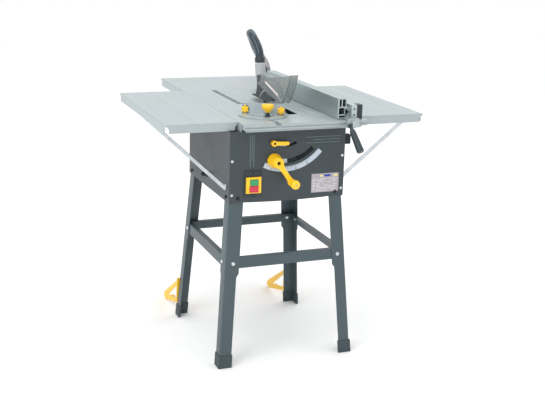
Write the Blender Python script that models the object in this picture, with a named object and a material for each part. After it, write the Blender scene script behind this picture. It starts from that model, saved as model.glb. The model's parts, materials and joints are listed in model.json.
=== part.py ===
"""Table saw on a stand, with folded sheet tables, tilting blade unit, rip fence, mitre gauge and guard.

Metres, +Z up, the operator stands at -Y. The shapes are written in the saw's own coordinates: X = 0 and
Y = 0 at the middle of the housing, Z = 0 on the floor. The empty saw_origin shifts the whole saw so that
the part's origin lies at the middle of its bounding box on the floor.
"""
import math

import bmesh
import bpy
from mathutils import Matrix, Vector

GAP = 0.0003                     # clearance between touching pieces

# Tables
TABLE_TOP = 0.850
SHEET = 0.0018
SKIRT = 0.030
MAIN_LEFT, MAIN_RIGHT = -0.1745, 0.2660
MAIN_FRONT, MAIN_REAR = -0.2500, 0.4300
SIDE_FRONT = -0.2120
LEFT_END, RIGHT_END = -0.4226, 0.5145
REAR_END = 0.7550

# Housing
HALF_WIDTH, HALF_DEPTH = 0.2090, 0.2280
HOUSING_BOTTOM, HOUSING_TOP = 0.5760, TABLE_TOP - SKIRT - 0.0005
PANEL = 0.0015
FRONT_FACE = -HALF_DEPTH

# Stand
LEG_TOP_X, LEG_TOP_Y = 0.2070, 0.2242
LEG_FOOT_X, LEG_FOOT_Y = 0.2480, 0.2670
LEG_BEND = HOUSING_BOTTOM - 0.0015
LEG_NECK_TOP = 0.6200
LEG_SHEET = 0.0025
LEG_FLANGE_TOP, LEG_FLANGE_FOOT = 0.0500, 0.0420
BOLT_ALONG_X, BOLT_ALONG_Y = 0.028, 0.036
BRACE_Z, BRACE_HEIGHT, BRACE_FLANGE, BRACE_SHEET = 0.3490, 0.0360, 0.0200, 0.0020

# Tilt unit: everything on it swings about a line along Y through the table's surface
TILT_X = -0.0115
CRANK_RADIUS, CRANK_ANGLE = 0.1400, -16.8
LOCK_RADIUS, LOCK_ANGLE = 0.0863, -31.2
BLADE_X, BLADE_RADIUS, BLADE_SHEET = 0.0420, 0.1250, 0.0026
ARBOR_Z = 0.7630
SCREW_Y = -0.1000
GUARD_HALF = 0.0140
GUARD_WALL = 0.0016

# Fence and mitre gauge
FENCE_X, FENCE_FRONT, FENCE_REAR = 0.1650, -0.2500, 0.4200
FENCE_BOTTOM, FENCE_TOP = TABLE_TOP + 0.0012, 0.9210
RAIL_FRONT = -0.2750
GROOVE_X, GROOVE_WIDTH, GROOVE_DEPTH, GROOVE_END = -0.0570, 0.0190, 0.0095, 0.4180
HEAD_Y, HEAD_RADIUS, HEAD_TURN = -0.1250, 0.0840, -29.0

# Hose and its port on the rear panel
HOSE_RADIUS = 0.0160
PORT_X, PORT_Z = 0.1200, 0.6600

FRONT_MOST = -0.3739             # the tip of the fence's clamp lever
ORIGIN = Vector(((LEFT_END + RIGHT_END) / 2, (FRONT_MOST + REAR_END) / 2, 0.0))

AXES = {
    "x": lambda u, v, w: (w, u, v),
    "y": lambda u, v, w: (u, w, v),
    "z": lambda u, v, w: (u, v, w),
}


# ---------------------------------------------------------------- mesh helpers

def finished(bm, name="shape"):
    """Turns a bmesh into a mesh with its faces pointing out."""
    bmesh.ops.recalc_face_normals(bm, faces=bm.faces)
    mesh = bpy.data.meshes.new(name)
    bm.to_mesh(mesh)
    bm.free()
    return mesh


def loft(rings):
    """A closed solid through rings of points that all have the same count."""
    bm = bmesh.new()
    loops = [[bm.verts.new(point) for point in ring] for ring in rings]
    count = len(loops[0])
    for low, high in zip(loops, loops[1:]):
        for i in range(count):
            j = (i + 1) % count
            bm.faces.new((low[i], low[j], high[j], high[i]))
    bm.faces.new(loops[0])
    bm.faces.new(loops[-1])
    return finished(bm)


def plate(outline, axis, near, far):
    """A flat outline extruded along an axis from near to far."""
    place = AXES[axis]
    return loft([[place(u, v, near) for u, v in outline], [place(u, v, far) for u, v in outline]])


def block(x0, x1, y0, y1, z0, z1):
    return plate([(x0, y0), (x1, y0), (x1, y1), (x0, y1)], "z", z0, z1)


def turned(profile, start, direction, sides):
    """A profile of (radius, height) points, first and last on the axis, turned about direction from start."""
    bm = bmesh.new()
    turn = Vector(direction).to_track_quat("Z", "Y").to_matrix()
    rings = []
    for radius, height in profile:
        if radius == 0:
            rings.append([bm.verts.new(Vector(start) + turn @ Vector((0, 0, height)))])
            continue
        ring = []
        for i in range(sides):
            angle = 2 * math.pi * (i + 0.5) / sides
            local = Vector((radius * math.cos(angle), radius * math.sin(angle), height))
            ring.append(bm.verts.new(Vector(start) + turn @ local))
        rings.append(ring)
    for low, high in zip(rings, rings[1:]):
        for i in range(sides):
            j = (i + 1) % sides
            corners = [low[i % len(low)], low[j % len(low)], high[j % len(high)], high[i % len(high)]]
            bm.faces.new(list(dict.fromkeys(corners)))
    return finished(bm)


def rod(start, end, radius, sides=16):
    """A plain round bar between two points."""
    run = Vector(end) - Vector(start)
    return turned([(0, 0), (radius, 0), (radius, run.length), (0, run.length)], start, run, sides)


def combined(operation, base, tools):
    """The mesh left by an exact Boolean of base with each tool in turn."""
    body = bpy.data.objects.new("body", base)
    bpy.context.scene.collection.objects.link(body)
    helpers = [body]
    for tool in tools:
        cutter = bpy.data.objects.new("cutter", tool)
        bpy.context.scene.collection.objects.link(cutter)
        modifier = body.modifiers.new("boolean", "BOOLEAN")
        modifier.operation = operation
        modifier.solver = "EXACT"
        modifier.object = cutter
        helpers.append(cutter)
    graph = bpy.context.evaluated_depsgraph_get()
    mesh = bpy.data.meshes.new_from_object(body.evaluated_get(graph))
    for helper in helpers:
        bpy.data.objects.remove(helper)
    return mesh


def cut(base, *tools):
    return combined("DIFFERENCE", base, tools)


def fuse(base, *tools):
    return combined("UNION", base, tools)


def moved(mesh, matrix):
    mesh.transform(matrix)
    return mesh


def arc(centre, radius, start, stop, steps):
    """Points on a circle; angles in degrees from straight down, positive towards +u."""
    points = []
    for i in range(steps + 1):
        angle = math.radians(start + (stop - start) * i / steps)
        points.append((centre[0] + radius * math.sin(angle), centre[1] - radius * math.cos(angle)))
    return points


def arc_band(centre, radius, half, start, stop, steps):
    outer = arc(centre, radius + half, start, stop, steps)
    inner = arc(centre, radius - half, stop, start, steps)
    return outer + inner


def on_tilt(radius, angle):
    """A point on the front panel, by radius and angle about the tilt axis."""
    return arc((TILT_X, TABLE_TOP), radius, angle, angle, 1)[0]


# ---------------------------------------------------------------- objects and materials

MATERIALS = {
    "table_metal": ((0.56, 0.62, 0.65), 0.35, 0.6),
    "housing_paint": ((0.045, 0.058, 0.068), 0.55, 0.0),
    "stand_paint": ((0.060, 0.085, 0.098), 0.5, 0.0),
    "zinc": ((0.62, 0.66, 0.68), 0.35, 1.0),
    "black_steel": ((0.02, 0.022, 0.025), 0.45, 0.6),
    "rubber": ((0.02, 0.022, 0.024), 0.8, 0.0),
    "yellow_plastic": ((0.90, 0.58, 0.02), 0.4, 0.0),
    "yellow_paint": ((0.85, 0.53, 0.02), 0.45, 0.0),
    "motor_metal": ((0.10, 0.11, 0.12), 0.5, 0.6),
    "black_plastic": ((0.022, 0.03, 0.035), 0.45, 0.0),
    "green_plastic": ((0.04, 0.35, 0.13), 0.4, 0.0),
    "red_plastic": ((0.55, 0.03, 0.05), 0.4, 0.0),
    "scale_plate": ((0.55, 0.62, 0.68), 0.45, 0.2),
    "aluminium": ((0.50, 0.56, 0.58), 0.35, 0.9),
    "cast_metal": ((0.35, 0.40, 0.43), 0.45, 0.9),
    "blade_steel": ((0.55, 0.57, 0.58), 0.25, 1.0),
    "smoked_plastic": ((0.30, 0.33, 0.33), 0.12, 0.0),
    "hose_rubber": ((0.015, 0.045, 0.065), 0.3, 0.0),
}


def material(name):
    found = bpy.data.materials.get(name)
    if found:
        return found
    colour, roughness, metallic = MATERIALS[name]
    made = bpy.data.materials.new(name)
    made.use_nodes = True
    shader = made.node_tree.nodes["Principled BSDF"]
    shader.inputs["Base Color"].default_value = (*colour, 1.0)
    shader.inputs["Roughness"].default_value = roughness
    shader.inputs["Metallic"].default_value = metallic
    made.diffuse_color = (*colour, 1.0)
    return made


def add(name, mesh, finish, pivot=(0.0, 0.0, 0.0)):
    """Links one sub-part under saw_origin, with its own origin at pivot."""
    mesh.transform(Matrix.Translation(-Vector(pivot)))
    mesh.name = name
    mesh.shade_smooth()
    mesh.set_sharp_from_angle(angle=math.radians(35))
    mesh.materials.clear()
    mesh.materials.append(material(finish))
    obj = bpy.data.objects.new(name, mesh)
    bpy.context.scene.collection.objects.link(obj)
    obj.parent = bpy.data.objects["saw_origin"]
    obj.location = pivot
    return obj


# ---------------------------------------------------------------- tables

NOTCH_WIDTH, NOTCH_HEIGHT = 0.0120, 0.0220
LEDGE = 0.0060
OPENING = (0.0157, 0.0923, -0.1550, 0.1950)
CHANNEL_HALF = GROOVE_WIDTH / 2 + 0.003


def pan(x0, x1, y0, y1):
    """A folded sheet tray, open below, with open notches at its four corners."""
    top, low = TABLE_TOP, TABLE_TOP - SKIRT
    inside = block(x0 + SHEET, x1 - SHEET, y0 + SHEET, y1 - SHEET, low - 0.01, top - SHEET)
    notches = []
    for x in (x0, x1):
        for y in (y0, y1):
            notches.append(block(x - NOTCH_WIDTH, x + NOTCH_WIDTH, y - NOTCH_WIDTH, y + NOTCH_WIDTH,
                                 low - 0.01, low + NOTCH_HEIGHT))
    return cut(block(x0, x1, y0, y1, low, top), inside, *notches)


def strut_lug(x, y, along_x):
    """A small tab below a table that a strut's end is bolted to."""
    half_x, half_y = (0.010, 0.0015) if along_x else (0.0015, 0.010)
    return block(x - half_x, x + half_x, y - half_y, y + half_y, TABLE_TOP - SKIRT + 0.002,
                 TABLE_TOP - SHEET / 2)


def ledge(x, y, outward):
    """A lip below the edge of the blade's opening that the insert rests on."""
    shelf = block(x - LEDGE, x + LEDGE, y - LEDGE * 2, y + LEDGE * 2, TABLE_TOP - 0.0055, TABLE_TOP - 0.0030)
    web_x = sorted((x, x + outward * 0.004))
    web = block(*web_x, y - LEDGE, y + LEDGE, TABLE_TOP - 0.0045, TABLE_TOP - SHEET / 2)
    return fuse(shelf, web)


def main_table():
    base = pan(MAIN_LEFT, MAIN_RIGHT, MAIN_FRONT, MAIN_REAR)
    channel = block(GROOVE_X - CHANNEL_HALF, GROOVE_X + CHANNEL_HALF, MAIN_FRONT, GROOVE_END + 0.003,
                    TABLE_TOP - GROOVE_DEPTH - 0.0025, TABLE_TOP - SHEET / 2)
    x0, x1, y0, y1 = OPENING
    ledges = [ledge(x, y, outward) for x, outward in ((x0, -1), (x1, 1)) for y in (y0 + 0.03, y1 - 0.03)]
    posts = [block(x - 0.010, x + 0.010, y - 0.007, y + 0.007, HOUSING_TOP + GAP, TABLE_TOP - SHEET / 2)
             for x in (-0.150, 0.150) for y in (-0.216, 0.216)]
    body = fuse(base, channel, *posts)
    groove = block(GROOVE_X - GROOVE_WIDTH / 2, GROOVE_X + GROOVE_WIDTH / 2, MAIN_FRONT - 0.01, GROOVE_END,
                   TABLE_TOP - GROOVE_DEPTH, TABLE_TOP + 0.01)
    opening = block(x0, x1, y0, y1, TABLE_TOP - SHEET - 0.004, TABLE_TOP + 0.01)
    add("main_table", fuse(cut(body, groove, opening), *ledges), "table_metal")


def table_insert():
    x0, x1, y0, y1 = OPENING
    body = block(x0 + GAP, x1 - GAP, y0 + GAP, y1 - GAP, TABLE_TOP - 0.0027, TABLE_TOP - 0.0002)
    slot = block(0.0375, 0.0725, -0.1250, 0.1800, TABLE_TOP - 0.01, TABLE_TOP + 0.01)
    add("table_insert", cut(body, slot), "cast_metal")


def extension_tables():
    left = pan(LEFT_END, MAIN_LEFT - GAP, SIDE_FRONT, MAIN_REAR)
    right = pan(MAIN_RIGHT + GAP, RIGHT_END, SIDE_FRONT, MAIN_REAR)
    rear = pan(MAIN_LEFT, MAIN_RIGHT, MAIN_REAR + GAP, REAR_END)
    add("left_extension", fuse(left, strut_lug(-0.4120, 0.3340, False)), "table_metal")
    add("right_extension", fuse(right, strut_lug(0.4500, -0.2000, True)), "table_metal")
    add("rear_extension", fuse(rear, *[strut_lug(x, 0.6600, False) for x in REAR_STRUT_X]), "table_metal")


REAR_STRUT_X = (-0.1500, 0.1900)


def strut(name, start, end, width_axis):
    """A flat steel strut, 14 mm wide and 3 mm thick, with its width across width_axis."""
    run = (Vector(end) - Vector(start)).normalized()
    thin = Vector(width_axis).cross(run).normalized() * 0.0015
    wide = run.cross(thin).normalized() * 0.0070
    rings = []
    for point in (Vector(start), Vector(end)):
        rings.append([point + wide + thin, point - wide + thin, point - wide - thin, point + wide - thin])
    add(name, loft(rings), "zinc")


def struts():
    strut("left_strut", (-0.2130, -0.2050, 0.6230), (-0.4085, 0.3300, 0.8230), (0, 0.35, 1))
    strut("right_strut", (0.2142, -0.1965, 0.6340), (0.4490, -0.1965, 0.8270), (0.6, 0, 1))
    names = ("rear_left_strut", "rear_right_strut")
    for name, x in zip(names, REAR_STRUT_X):
        strut(name, (x + 0.0035, HALF_DEPTH + 0.0070, 0.6300), (x + 0.0035, 0.6600, 0.8280), (0, 0.5, 1))


def fence_rail():
    body = block(MAIN_LEFT - 0.0015, MAIN_RIGHT + 0.0010, RAIL_FRONT, MAIN_FRONT - GAP, TABLE_TOP - 0.019,
                 TABLE_TOP)
    groove = block(GROOVE_X - GROOVE_WIDTH / 2, GROOVE_X + GROOVE_WIDTH / 2, RAIL_FRONT - 0.01,
                   MAIN_FRONT + 0.01, TABLE_TOP - GROOVE_DEPTH, TABLE_TOP + 0.01)
    slot = block(MAIN_LEFT - 0.01, MAIN_RIGHT + 0.01, RAIL_FRONT - 0.01, RAIL_FRONT + 0.0030,
                 TABLE_TOP - 0.0130, TABLE_TOP - 0.0090)
    add("fence_rail", cut(body, groove, slot), "table_metal")


# ---------------------------------------------------------------- housing

RIVET_X, RIVET_Z = 0.2000, (0.6040, 0.7200)
LEG_BOLT_Z = 0.5920
LEG_BOLT_X, LEG_BOLT_Y = 0.1780, 0.1950
BOLT_HOLE, RIVET_HOLE = 0.0036, 0.0030
TILT_CENTRE = (TILT_X, TABLE_TOP)
SWITCH_X, SWITCH_Z = -0.1255, 0.6345
SWITCH_HALF_X, SWITCH_HALF_Z = 0.0225, 0.0240


def hole(x, y, z, axis, radius, reach=0.012):
    step = Vector(axis) * reach
    centre = Vector((x, y, z))
    return rod(centre - step, centre + step, radius, 8)


def front_panel():
    bulge = [(HALF_WIDTH * i / 5, 0.5730 + 0.0070 * (i / 5) ** 2) for i in range(-5, 6)]
    outline = bulge + [(HALF_WIDTH, HOUSING_TOP), (-HALF_WIDTH, HOUSING_TOP)]
    sheet = plate(outline, "y", FRONT_FACE, FRONT_FACE + PANEL)
    flange = block(-0.185, 0.185, FRONT_FACE + PANEL / 2, FRONT_FACE + 0.022, HOUSING_TOP - PANEL,
                   HOUSING_TOP)
    tilt_slot = plate(arc_band(TILT_CENTRE, CRANK_RADIUS - 0.001, 0.0085, -27, 46, 14), "y", -0.24, -0.22)
    lock_slot = plate(arc_band(TILT_CENTRE, LOCK_RADIUS - 0.001, 0.0045, -36, 28, 10), "y", -0.24, -0.22)
    switch = block(SWITCH_X - SWITCH_HALF_X - 0.001, SWITCH_X + SWITCH_HALF_X + 0.001, -0.24, -0.22,
                   SWITCH_Z - SWITCH_HALF_Z - 0.001, SWITCH_Z + SWITCH_HALF_Z + 0.001)
    holes = [hole(x, FRONT_FACE, z, (0, 1, 0), RIVET_HOLE) for x in (-RIVET_X, RIVET_X) for z in RIVET_Z]
    holes += [hole(x, FRONT_FACE, LEG_BOLT_Z, (0, 1, 0), BOLT_HOLE) for x in (-LEG_BOLT_X, LEG_BOLT_X)]
    add("front_panel", cut(fuse(sheet, flange), tilt_slot, lock_slot, switch, *holes), "housing_paint")


def rear_panel():
    sheet = block(-HALF_WIDTH, HALF_WIDTH, HALF_DEPTH - PANEL, HALF_DEPTH, HOUSING_BOTTOM, HOUSING_TOP)
    flange = block(-0.185, 0.185, HALF_DEPTH - 0.022, HALF_DEPTH - PANEL / 2, HOUSING_TOP - PANEL,
                   HOUSING_TOP)
    port = rod((PORT_X, 0.20, PORT_Z), (PORT_X, 0.26, PORT_Z), 0.0170, 24)
    vent_x = [-0.10 + 0.014 * i for i in range(8)]
    vents = [block(x - 0.003, x + 0.003, 0.20, 0.26, 0.700, 0.745) for x in vent_x]
    holes = [hole(x, HALF_DEPTH, z, (0, 1, 0), RIVET_HOLE) for x in (-RIVET_X, RIVET_X) for z in RIVET_Z]
    holes += [hole(x, HALF_DEPTH, LEG_BOLT_Z, (0, 1, 0), BOLT_HOLE) for x in (-LEG_BOLT_X, LEG_BOLT_X)]
    add("rear_panel", cut(fuse(sheet, flange), port, *vents, *holes), "housing_paint")


def side_panel(name, side, extra_holes):
    """A side of the housing with the return flanges that the front and rear panels are riveted to."""
    outer, inner = HALF_WIDTH, HALF_WIDTH - PANEL
    back, lip = HALF_DEPTH - PANEL - GAP, 0.0190
    front = -back
    outline = [(outer, front), (outer, back), (outer - lip, back), (outer - lip, back - PANEL),
               (inner, back - PANEL), (inner, front + PANEL), (outer - lip, front + PANEL), (outer - lip, front)]
    outline = [(side * x, y) for x, y in outline]
    sheet = plate(outline, "z", HOUSING_BOTTOM, HOUSING_TOP)
    holes = [hole(side * RIVET_X, y, z, (0, 1, 0), RIVET_HOLE) for y in (front, back) for z in RIVET_Z]
    holes += [hole(side * outer, y, LEG_BOLT_Z, (1, 0, 0), BOLT_HOLE) for y in (-LEG_BOLT_Y, LEG_BOLT_Y)]
    holes += [hole(side * outer, y, z, (1, 0, 0), radius) for y, z, radius in extra_holes]
    add(name, cut(sheet, *holes), "housing_paint")


def gland():
    profile = [(0, -0.008), (0.0050, -0.008), (0.0050, GAP), (0.0110, GAP), (0.0110, 0.006), (0.0085, 0.007),
               (0.0075, 0.022), (0.0035, 0.023), (0.0035, 0.012), (0, 0.012)]
    add("cord_gland", turned(profile, (-HALF_WIDTH, 0.0115, 0.6226), (-1, 0, 0), 14), "black_plastic")


def side_bracket():
    """The black holder on the right side, with the screw that fixes it."""
    x0 = HALF_WIDTH + GAP
    base = block(x0, x0 + 0.003, -0.2200, -0.1800, 0.7520, 0.7940)
    box = cut(block(x0 + 0.0015, x0 + 0.0250, -0.2180, -0.1950, 0.7560, 0.7890),
              block(x0 + 0.0050, x0 + 0.0300, -0.2150, -0.1980, 0.7500, 0.7860))
    screw = rod((x0 + 0.001, -0.1870, 0.7730), (x0 + 0.0060, -0.1870, 0.7730), 0.0045, 10)
    add("side_bracket", fuse(base, box, screw), "black_steel")


def dust_port():
    flange = rod((PORT_X, HALF_DEPTH + GAP, PORT_Z), (PORT_X, HALF_DEPTH + 0.0040, PORT_Z), 0.0270, 24)
    pipe = rod((PORT_X, HALF_DEPTH + 0.0010, PORT_Z), (PORT_X, HALF_DEPTH + 0.0280, PORT_Z), HOSE_RADIUS, 20)
    bore = rod((PORT_X, HALF_DEPTH - 0.01, PORT_Z), (PORT_X, HALF_DEPTH + 0.05, PORT_Z), 0.0135, 20)
    add("dust_port", cut(fuse(flange, pipe), bore), "black_plastic")


# ---------------------------------------------------------------- stand

SLOPE_X = (LEG_FOOT_X - LEG_TOP_X) / LEG_BEND
SLOPE_Y = (LEG_FOOT_Y - LEG_TOP_Y) / LEG_BEND


def leg_corner(z):
    """The outer corner of a leg at height z, in the quarter where x and y are positive."""
    drop = max(LEG_BEND - z, 0.0)
    return LEG_TOP_X + SLOPE_X * drop, LEG_TOP_Y + SLOPE_Y * drop


def angle_ring(side_x, side_y, z, flange, thickness, grow=0.0):
    """An L section with its outer corner on the leg's corner line, grown outwards by grow."""
    cx, cy = leg_corner(z)
    cx, cy = cx + grow, cy + grow
    inner = thickness + 2 * grow
    reach = flange + 2 * grow
    ring = [(cx, cy), (cx - reach, cy), (cx - reach, cy - inner), (cx - inner, cy - inner),
            (cx - inner, cy - reach), (cx, cy - reach)]
    return [(side_x * x, side_y * y, z) for x, y in ring]


def brace_bolts():
    """The middle of each brace bolt on a leg's outer face, and its outward axis."""
    found = []
    z = BRACE_Z + BRACE_HEIGHT / 2
    cx, cy = leg_corner(z)
    for side_x in (-1, 1):
        for side_y in (-1, 1):
            front = Vector((side_x * (cx - BOLT_ALONG_X), side_y * cy, z))
            flank = Vector((side_x * cx, side_y * (cy - BOLT_ALONG_Y), z))
            found.append((front, Vector((0, side_y, SLOPE_Y)).normalized()))
            found.append((flank, Vector((side_x, 0, SLOPE_X)).normalized()))
    return found


def neck_bolts():
    """The bolts that hold the legs to the housing: a point on the panel's face, and the outward axis."""
    found = []
    for side_x in (-1, 1):
        for side_y in (-1, 1):
            front = Vector((side_x * LEG_BOLT_X, side_y * HALF_DEPTH, LEG_BOLT_Z))
            flank = Vector((side_x * HALF_WIDTH, side_y * LEG_BOLT_Y, LEG_BOLT_Z))
            found += [(front, Vector((0, side_y, 0))), (flank, Vector((side_x, 0, 0)))]
    return found


def bolt_holes():
    bolts = brace_bolts() + neck_bolts()
    return [rod(point + axis * 0.012, point - axis * 0.012, BOLT_HOLE, 8) for point, axis in bolts]


def legs_and_feet():
    names = {(-1, -1): "front_left", (1, -1): "front_right", (-1, 1): "rear_left", (1, 1): "rear_right"}
    for (side_x, side_y), name in names.items():
        heights = [(0.0050, LEG_FLANGE_FOOT), (0.3160, LEG_FLANGE_FOOT), (0.3300, LEG_FLANGE_TOP),
                   (LEG_BEND, LEG_FLANGE_TOP), (LEG_NECK_TOP, LEG_FLANGE_TOP)]
        rings = [angle_ring(side_x, side_y, z, flange, LEG_SHEET) for z, flange in heights]
        leg = cut(loft(rings), *bolt_holes())
        add(name + "_leg", leg, "stand_paint")
        outside = [angle_ring(side_x, side_y, z, LEG_FLANGE_FOOT, LEG_SHEET, 0.0030) for z in (0.0, 0.0450)]
        pocket = [angle_ring(side_x, side_y, z, LEG_FLANGE_FOOT, LEG_SHEET, GAP) for z in (0.0046, 0.0600)]
        add(name + "_foot", cut(loft(outside), loft(pocket)), "rubber")


def brace_section(corner, slope):
    """A brace's section as (distance from the middle, height): a leaning web and an inward top flange."""
    z0, z1 = BRACE_Z, BRACE_Z + BRACE_HEIGHT
    low = corner(z0) - LEG_SHEET - GAP * 1.5
    high = corner(z1) - LEG_SHEET - GAP * 1.5
    t = BRACE_SHEET
    return [(low, z0), (high, z1), (high - BRACE_FLANGE, z1), (high - BRACE_FLANGE, z1 - t),
            (high - t - slope * -t, z1 - t), (low - t, z0)]


def braces():
    holes = bolt_holes()
    reach_x = leg_corner(BRACE_Z + BRACE_HEIGHT)[0] - LEG_SHEET - BRACE_SHEET - 0.0012
    reach_y = leg_corner(BRACE_Z + BRACE_HEIGHT)[1] - LEG_SHEET - BRACE_SHEET - 0.0012
    relief = BRACE_FLANGE + 0.002
    across = brace_section(lambda z: leg_corner(z)[1], SLOPE_Y)
    along = brace_section(lambda z: leg_corner(z)[0], SLOPE_X)
    for name, side in (("front_brace", -1), ("rear_brace", 1)):
        bar = plate([(side * d, z) for d, z in across], "x", -reach_x, reach_x)
        add(name, cut(bar, *holes), "stand_paint")
    for name, side in (("left_brace", -1), ("right_brace", 1)):
        bar = plate([(side * d, z) for d, z in along], "y", -reach_y, reach_y)
        across_x = sorted((side * 0.150, side * (reach_x + 0.0005)))
        ends = [block(*across_x, *sorted((end * (reach_y - relief), end * 0.30)),
                      BRACE_Z + BRACE_HEIGHT - 0.006, BRACE_Z + BRACE_HEIGHT + 0.01) for end in (-1, 1)]
        add(name, cut(bar, *ends, *holes), "stand_paint")


def stabilisers():
    """The two hooked steel arms on the rear legs that stop the saw tipping back."""
    for name, outer_x in (("left_stabiliser", -0.2460), ("right_stabiliser", 0.2030)):
        x0, x1 = outer_x, outer_x + 0.0030
        y_leg = leg_corner(0.045)[1] + 0.0040
        y_top = leg_corner(0.140)[1] + 0.0012
        tip_y = 0.4500
        lower = plate([(y_leg, 0.046), (y_leg, 0.062), (tip_y - 0.012, 0.022), (tip_y, 0.022), (tip_y, 0.006),
                       (tip_y - 0.030, 0.006)], "x", x0, x1)
        upper = plate([(y_top, 0.125), (y_top, 0.143), (tip_y - 0.006, 0.030), (tip_y, 0.006),
                       (tip_y - 0.020, 0.006)], "x", x0, x1)
        strip = loft([[(x0, leg_corner(z)[1] + 0.0004, z), (x0 + 0.0200, leg_corner(z)[1] + 0.0004, z),
                       (x0 + 0.0200, leg_corner(z)[1] + 0.0034, z), (x0, leg_corner(z)[1] + 0.0034, z)]
                      for z in (0.0490, 0.1500)])
        bridge = loft([[(x0, leg_corner(z)[1] + 0.0020, z), (x1, leg_corner(z)[1] + 0.0020, z),
                        (x1, leg_corner(z)[1] + 0.0120, z), (x0, leg_corner(z)[1] + 0.0120, z)]
                       for z in (0.0490, 0.1430)])
        cross = plate([(x0, tip_y - 0.022), (x0 + 0.0420, tip_y - 0.022), (x0 + 0.0420, tip_y), (x0, tip_y)],
                      "z", 0.0060, 0.0090)
        add(name, fuse(strip, bridge, lower, upper, cross), "yellow_paint")


# ---------------------------------------------------------------- front controls

def switch():
    y0 = FRONT_FACE - GAP
    body = block(SWITCH_X - SWITCH_HALF_X, SWITCH_X + SWITCH_HALF_X, y0 - 0.004, -0.1950,
                 SWITCH_Z - SWITCH_HALF_Z, SWITCH_Z + SWITCH_HALF_Z)
    back_plate = block(-0.1570, -0.0950, y0 - 0.0022, y0, 0.5930, 0.6860)
    window = block(SWITCH_X - SWITCH_HALF_X - GAP, SWITCH_X + SWITCH_HALF_X + GAP, -0.24, -0.22,
                   SWITCH_Z - SWITCH_HALF_Z - GAP, SWITCH_Z + SWITCH_HALF_Z + GAP)
    add("switch_plate", cut(back_plate, window), "black_plastic")
    face = block(-0.1520, -0.0990, y0 - 0.0095, y0 - 0.0022 - GAP, 0.6090, 0.6640)
    wells = [block(x0 - 0.0006, x1 + 0.0006, -0.26, -0.2180, z0 - 0.0006, z1 + 0.0006)
             for x0, x1, z0, z1 in BUTTONS.values()]
    add("switch_frame", cut(fuse(face, body), *wells), "yellow_plastic")
    for name, (x0, x1, z0, z1) in BUTTONS.items():
        button = block(x0, x1, y0 - 0.0125, -0.2240, z0, z1)
        pivot = ((x0 + x1) / 2, y0 - 0.0125, (z0 + z1) / 2)
        add(name, button, "green_plastic" if name == "start_button" else "red_plastic", pivot)


BUTTONS = {
    "start_button": (-0.1385, -0.1095, 0.6360, 0.6560),
    "stop_button": (-0.1400, -0.1090, 0.6125, 0.6335),
}


def tilt_scale():
    band = arc_band(TILT_CENTRE, 0.1660, 0.0090, -27, 50, 18)
    add("tilt_scale", plate(band, "y", FRONT_FACE - GAP - 0.0008, FRONT_FACE - GAP), "scale_plate")


CRANK_X, CRANK_Z = on_tilt(CRANK_RADIUS, CRANK_ANGLE)
KNOB_X, KNOB_Z = CRANK_X + 0.0490, CRANK_Z - 0.0690
KNOB_FRONT = -0.3150


def crank():
    hub = turned([(0, -0.2310), (0.0250, -0.2310), (0.0250, -0.2380), (0.0215, -0.2550), (0.0200, -0.2740),
                  (0.0170, -0.2770), (0.0060, -0.2770), (0.0055, -0.2730), (0, -0.2730)],
                 (CRANK_X, 0, CRANK_Z), (0, 1, 0), 24)
    run = Vector((KNOB_X - CRANK_X, 0, KNOB_Z - CRANK_Z))
    side = Vector((-run.z, 0, run.x)).normalized()
    stations = ((0.10, 0.0150), (0.35, 0.0088), (0.70, 0.0078), (0.90, 0.0105), (1.12, 0.0085))
    rings = []
    for share, half in stations:
        centre = Vector((CRANK_X, 0, CRANK_Z)) + run * share
        corners = [centre + side * half, centre - side * half]
        rings.append([(corners[0].x, -0.2760, corners[0].z), (corners[0].x, -0.2630, corners[0].z),
                      (corners[1].x, -0.2630, corners[1].z), (corners[1].x, -0.2760, corners[1].z)])
    boss = rod((KNOB_X, -0.2630, KNOB_Z), (KNOB_X, -0.2770, KNOB_Z), 0.0130, 18)
    spindle = rod((KNOB_X, -0.2640, KNOB_Z), (KNOB_X, KNOB_FRONT + 0.0080, KNOB_Z), 0.0035, 10)
    shaft = rod((CRANK_X, -0.2320, CRANK_Z), (CRANK_X, SCREW_Y - 0.0180, CRANK_Z), 0.0060, 12)
    gear = turned([(0, -0.0090), (0.0110, -0.0090), (0.0080, 0), (0, 0)],
                  (CRANK_X, SCREW_Y - 0.0145, CRANK_Z), (0, 1, 0), 16)
    pivot = (CRANK_X, -0.2310, CRANK_Z)
    add("crank_handle", fuse(hub, loft(rings), boss, spindle, shaft, gear), "yellow_plastic", pivot)
    depth = KNOB_FRONT
    knob = turned([(0, depth), (0.0080, depth), (0.0140, depth + 0.0030), (0.0160, depth + 0.0090),
                   (0.0150, depth + 0.0160), (0.0110, depth + 0.0270), (0.0100, depth + 0.0340),
                   (0.0110, -0.2775), (0, -0.2775)], (KNOB_X, 0, KNOB_Z), (0, 1, 0), 20)
    bore = rod((KNOB_X, depth + 0.0060, KNOB_Z), (KNOB_X, -0.27, KNOB_Z), 0.0041, 10)
    add("crank_knob", cut(knob, bore), "yellow_plastic", (KNOB_X, -0.2775, KNOB_Z))


def lock_lever():
    x, z = on_tilt(LOCK_RADIUS, LOCK_ANGLE)
    hub = turned([(0, -0.2290), (0.0105, -0.2290), (0.0105, -0.2420), (0.0085, -0.2440), (0, -0.2440)],
                 (x, 0, z), (0, 1, 0), 16)
    arm = plate([(x, z - 0.0070), (x + 0.0480, z - 0.0075), (x + 0.0530, z - 0.0040), (x + 0.0530, z + 0.0015),
                 (x + 0.0480, z + 0.0045), (x, z + 0.0070)], "y", -0.2430, -0.2330)
    stud = rod((x, -0.2300, z), (x, -0.2100, z), 0.0032, 8)
    add("lock_lever", fuse(hub, arm, stud), "yellow_plastic", (x, -0.2290, z))


# ---------------------------------------------------------------- tilt unit

POST = (-0.0520, 0.1000)
SHELF_Z = 0.6400


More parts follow.
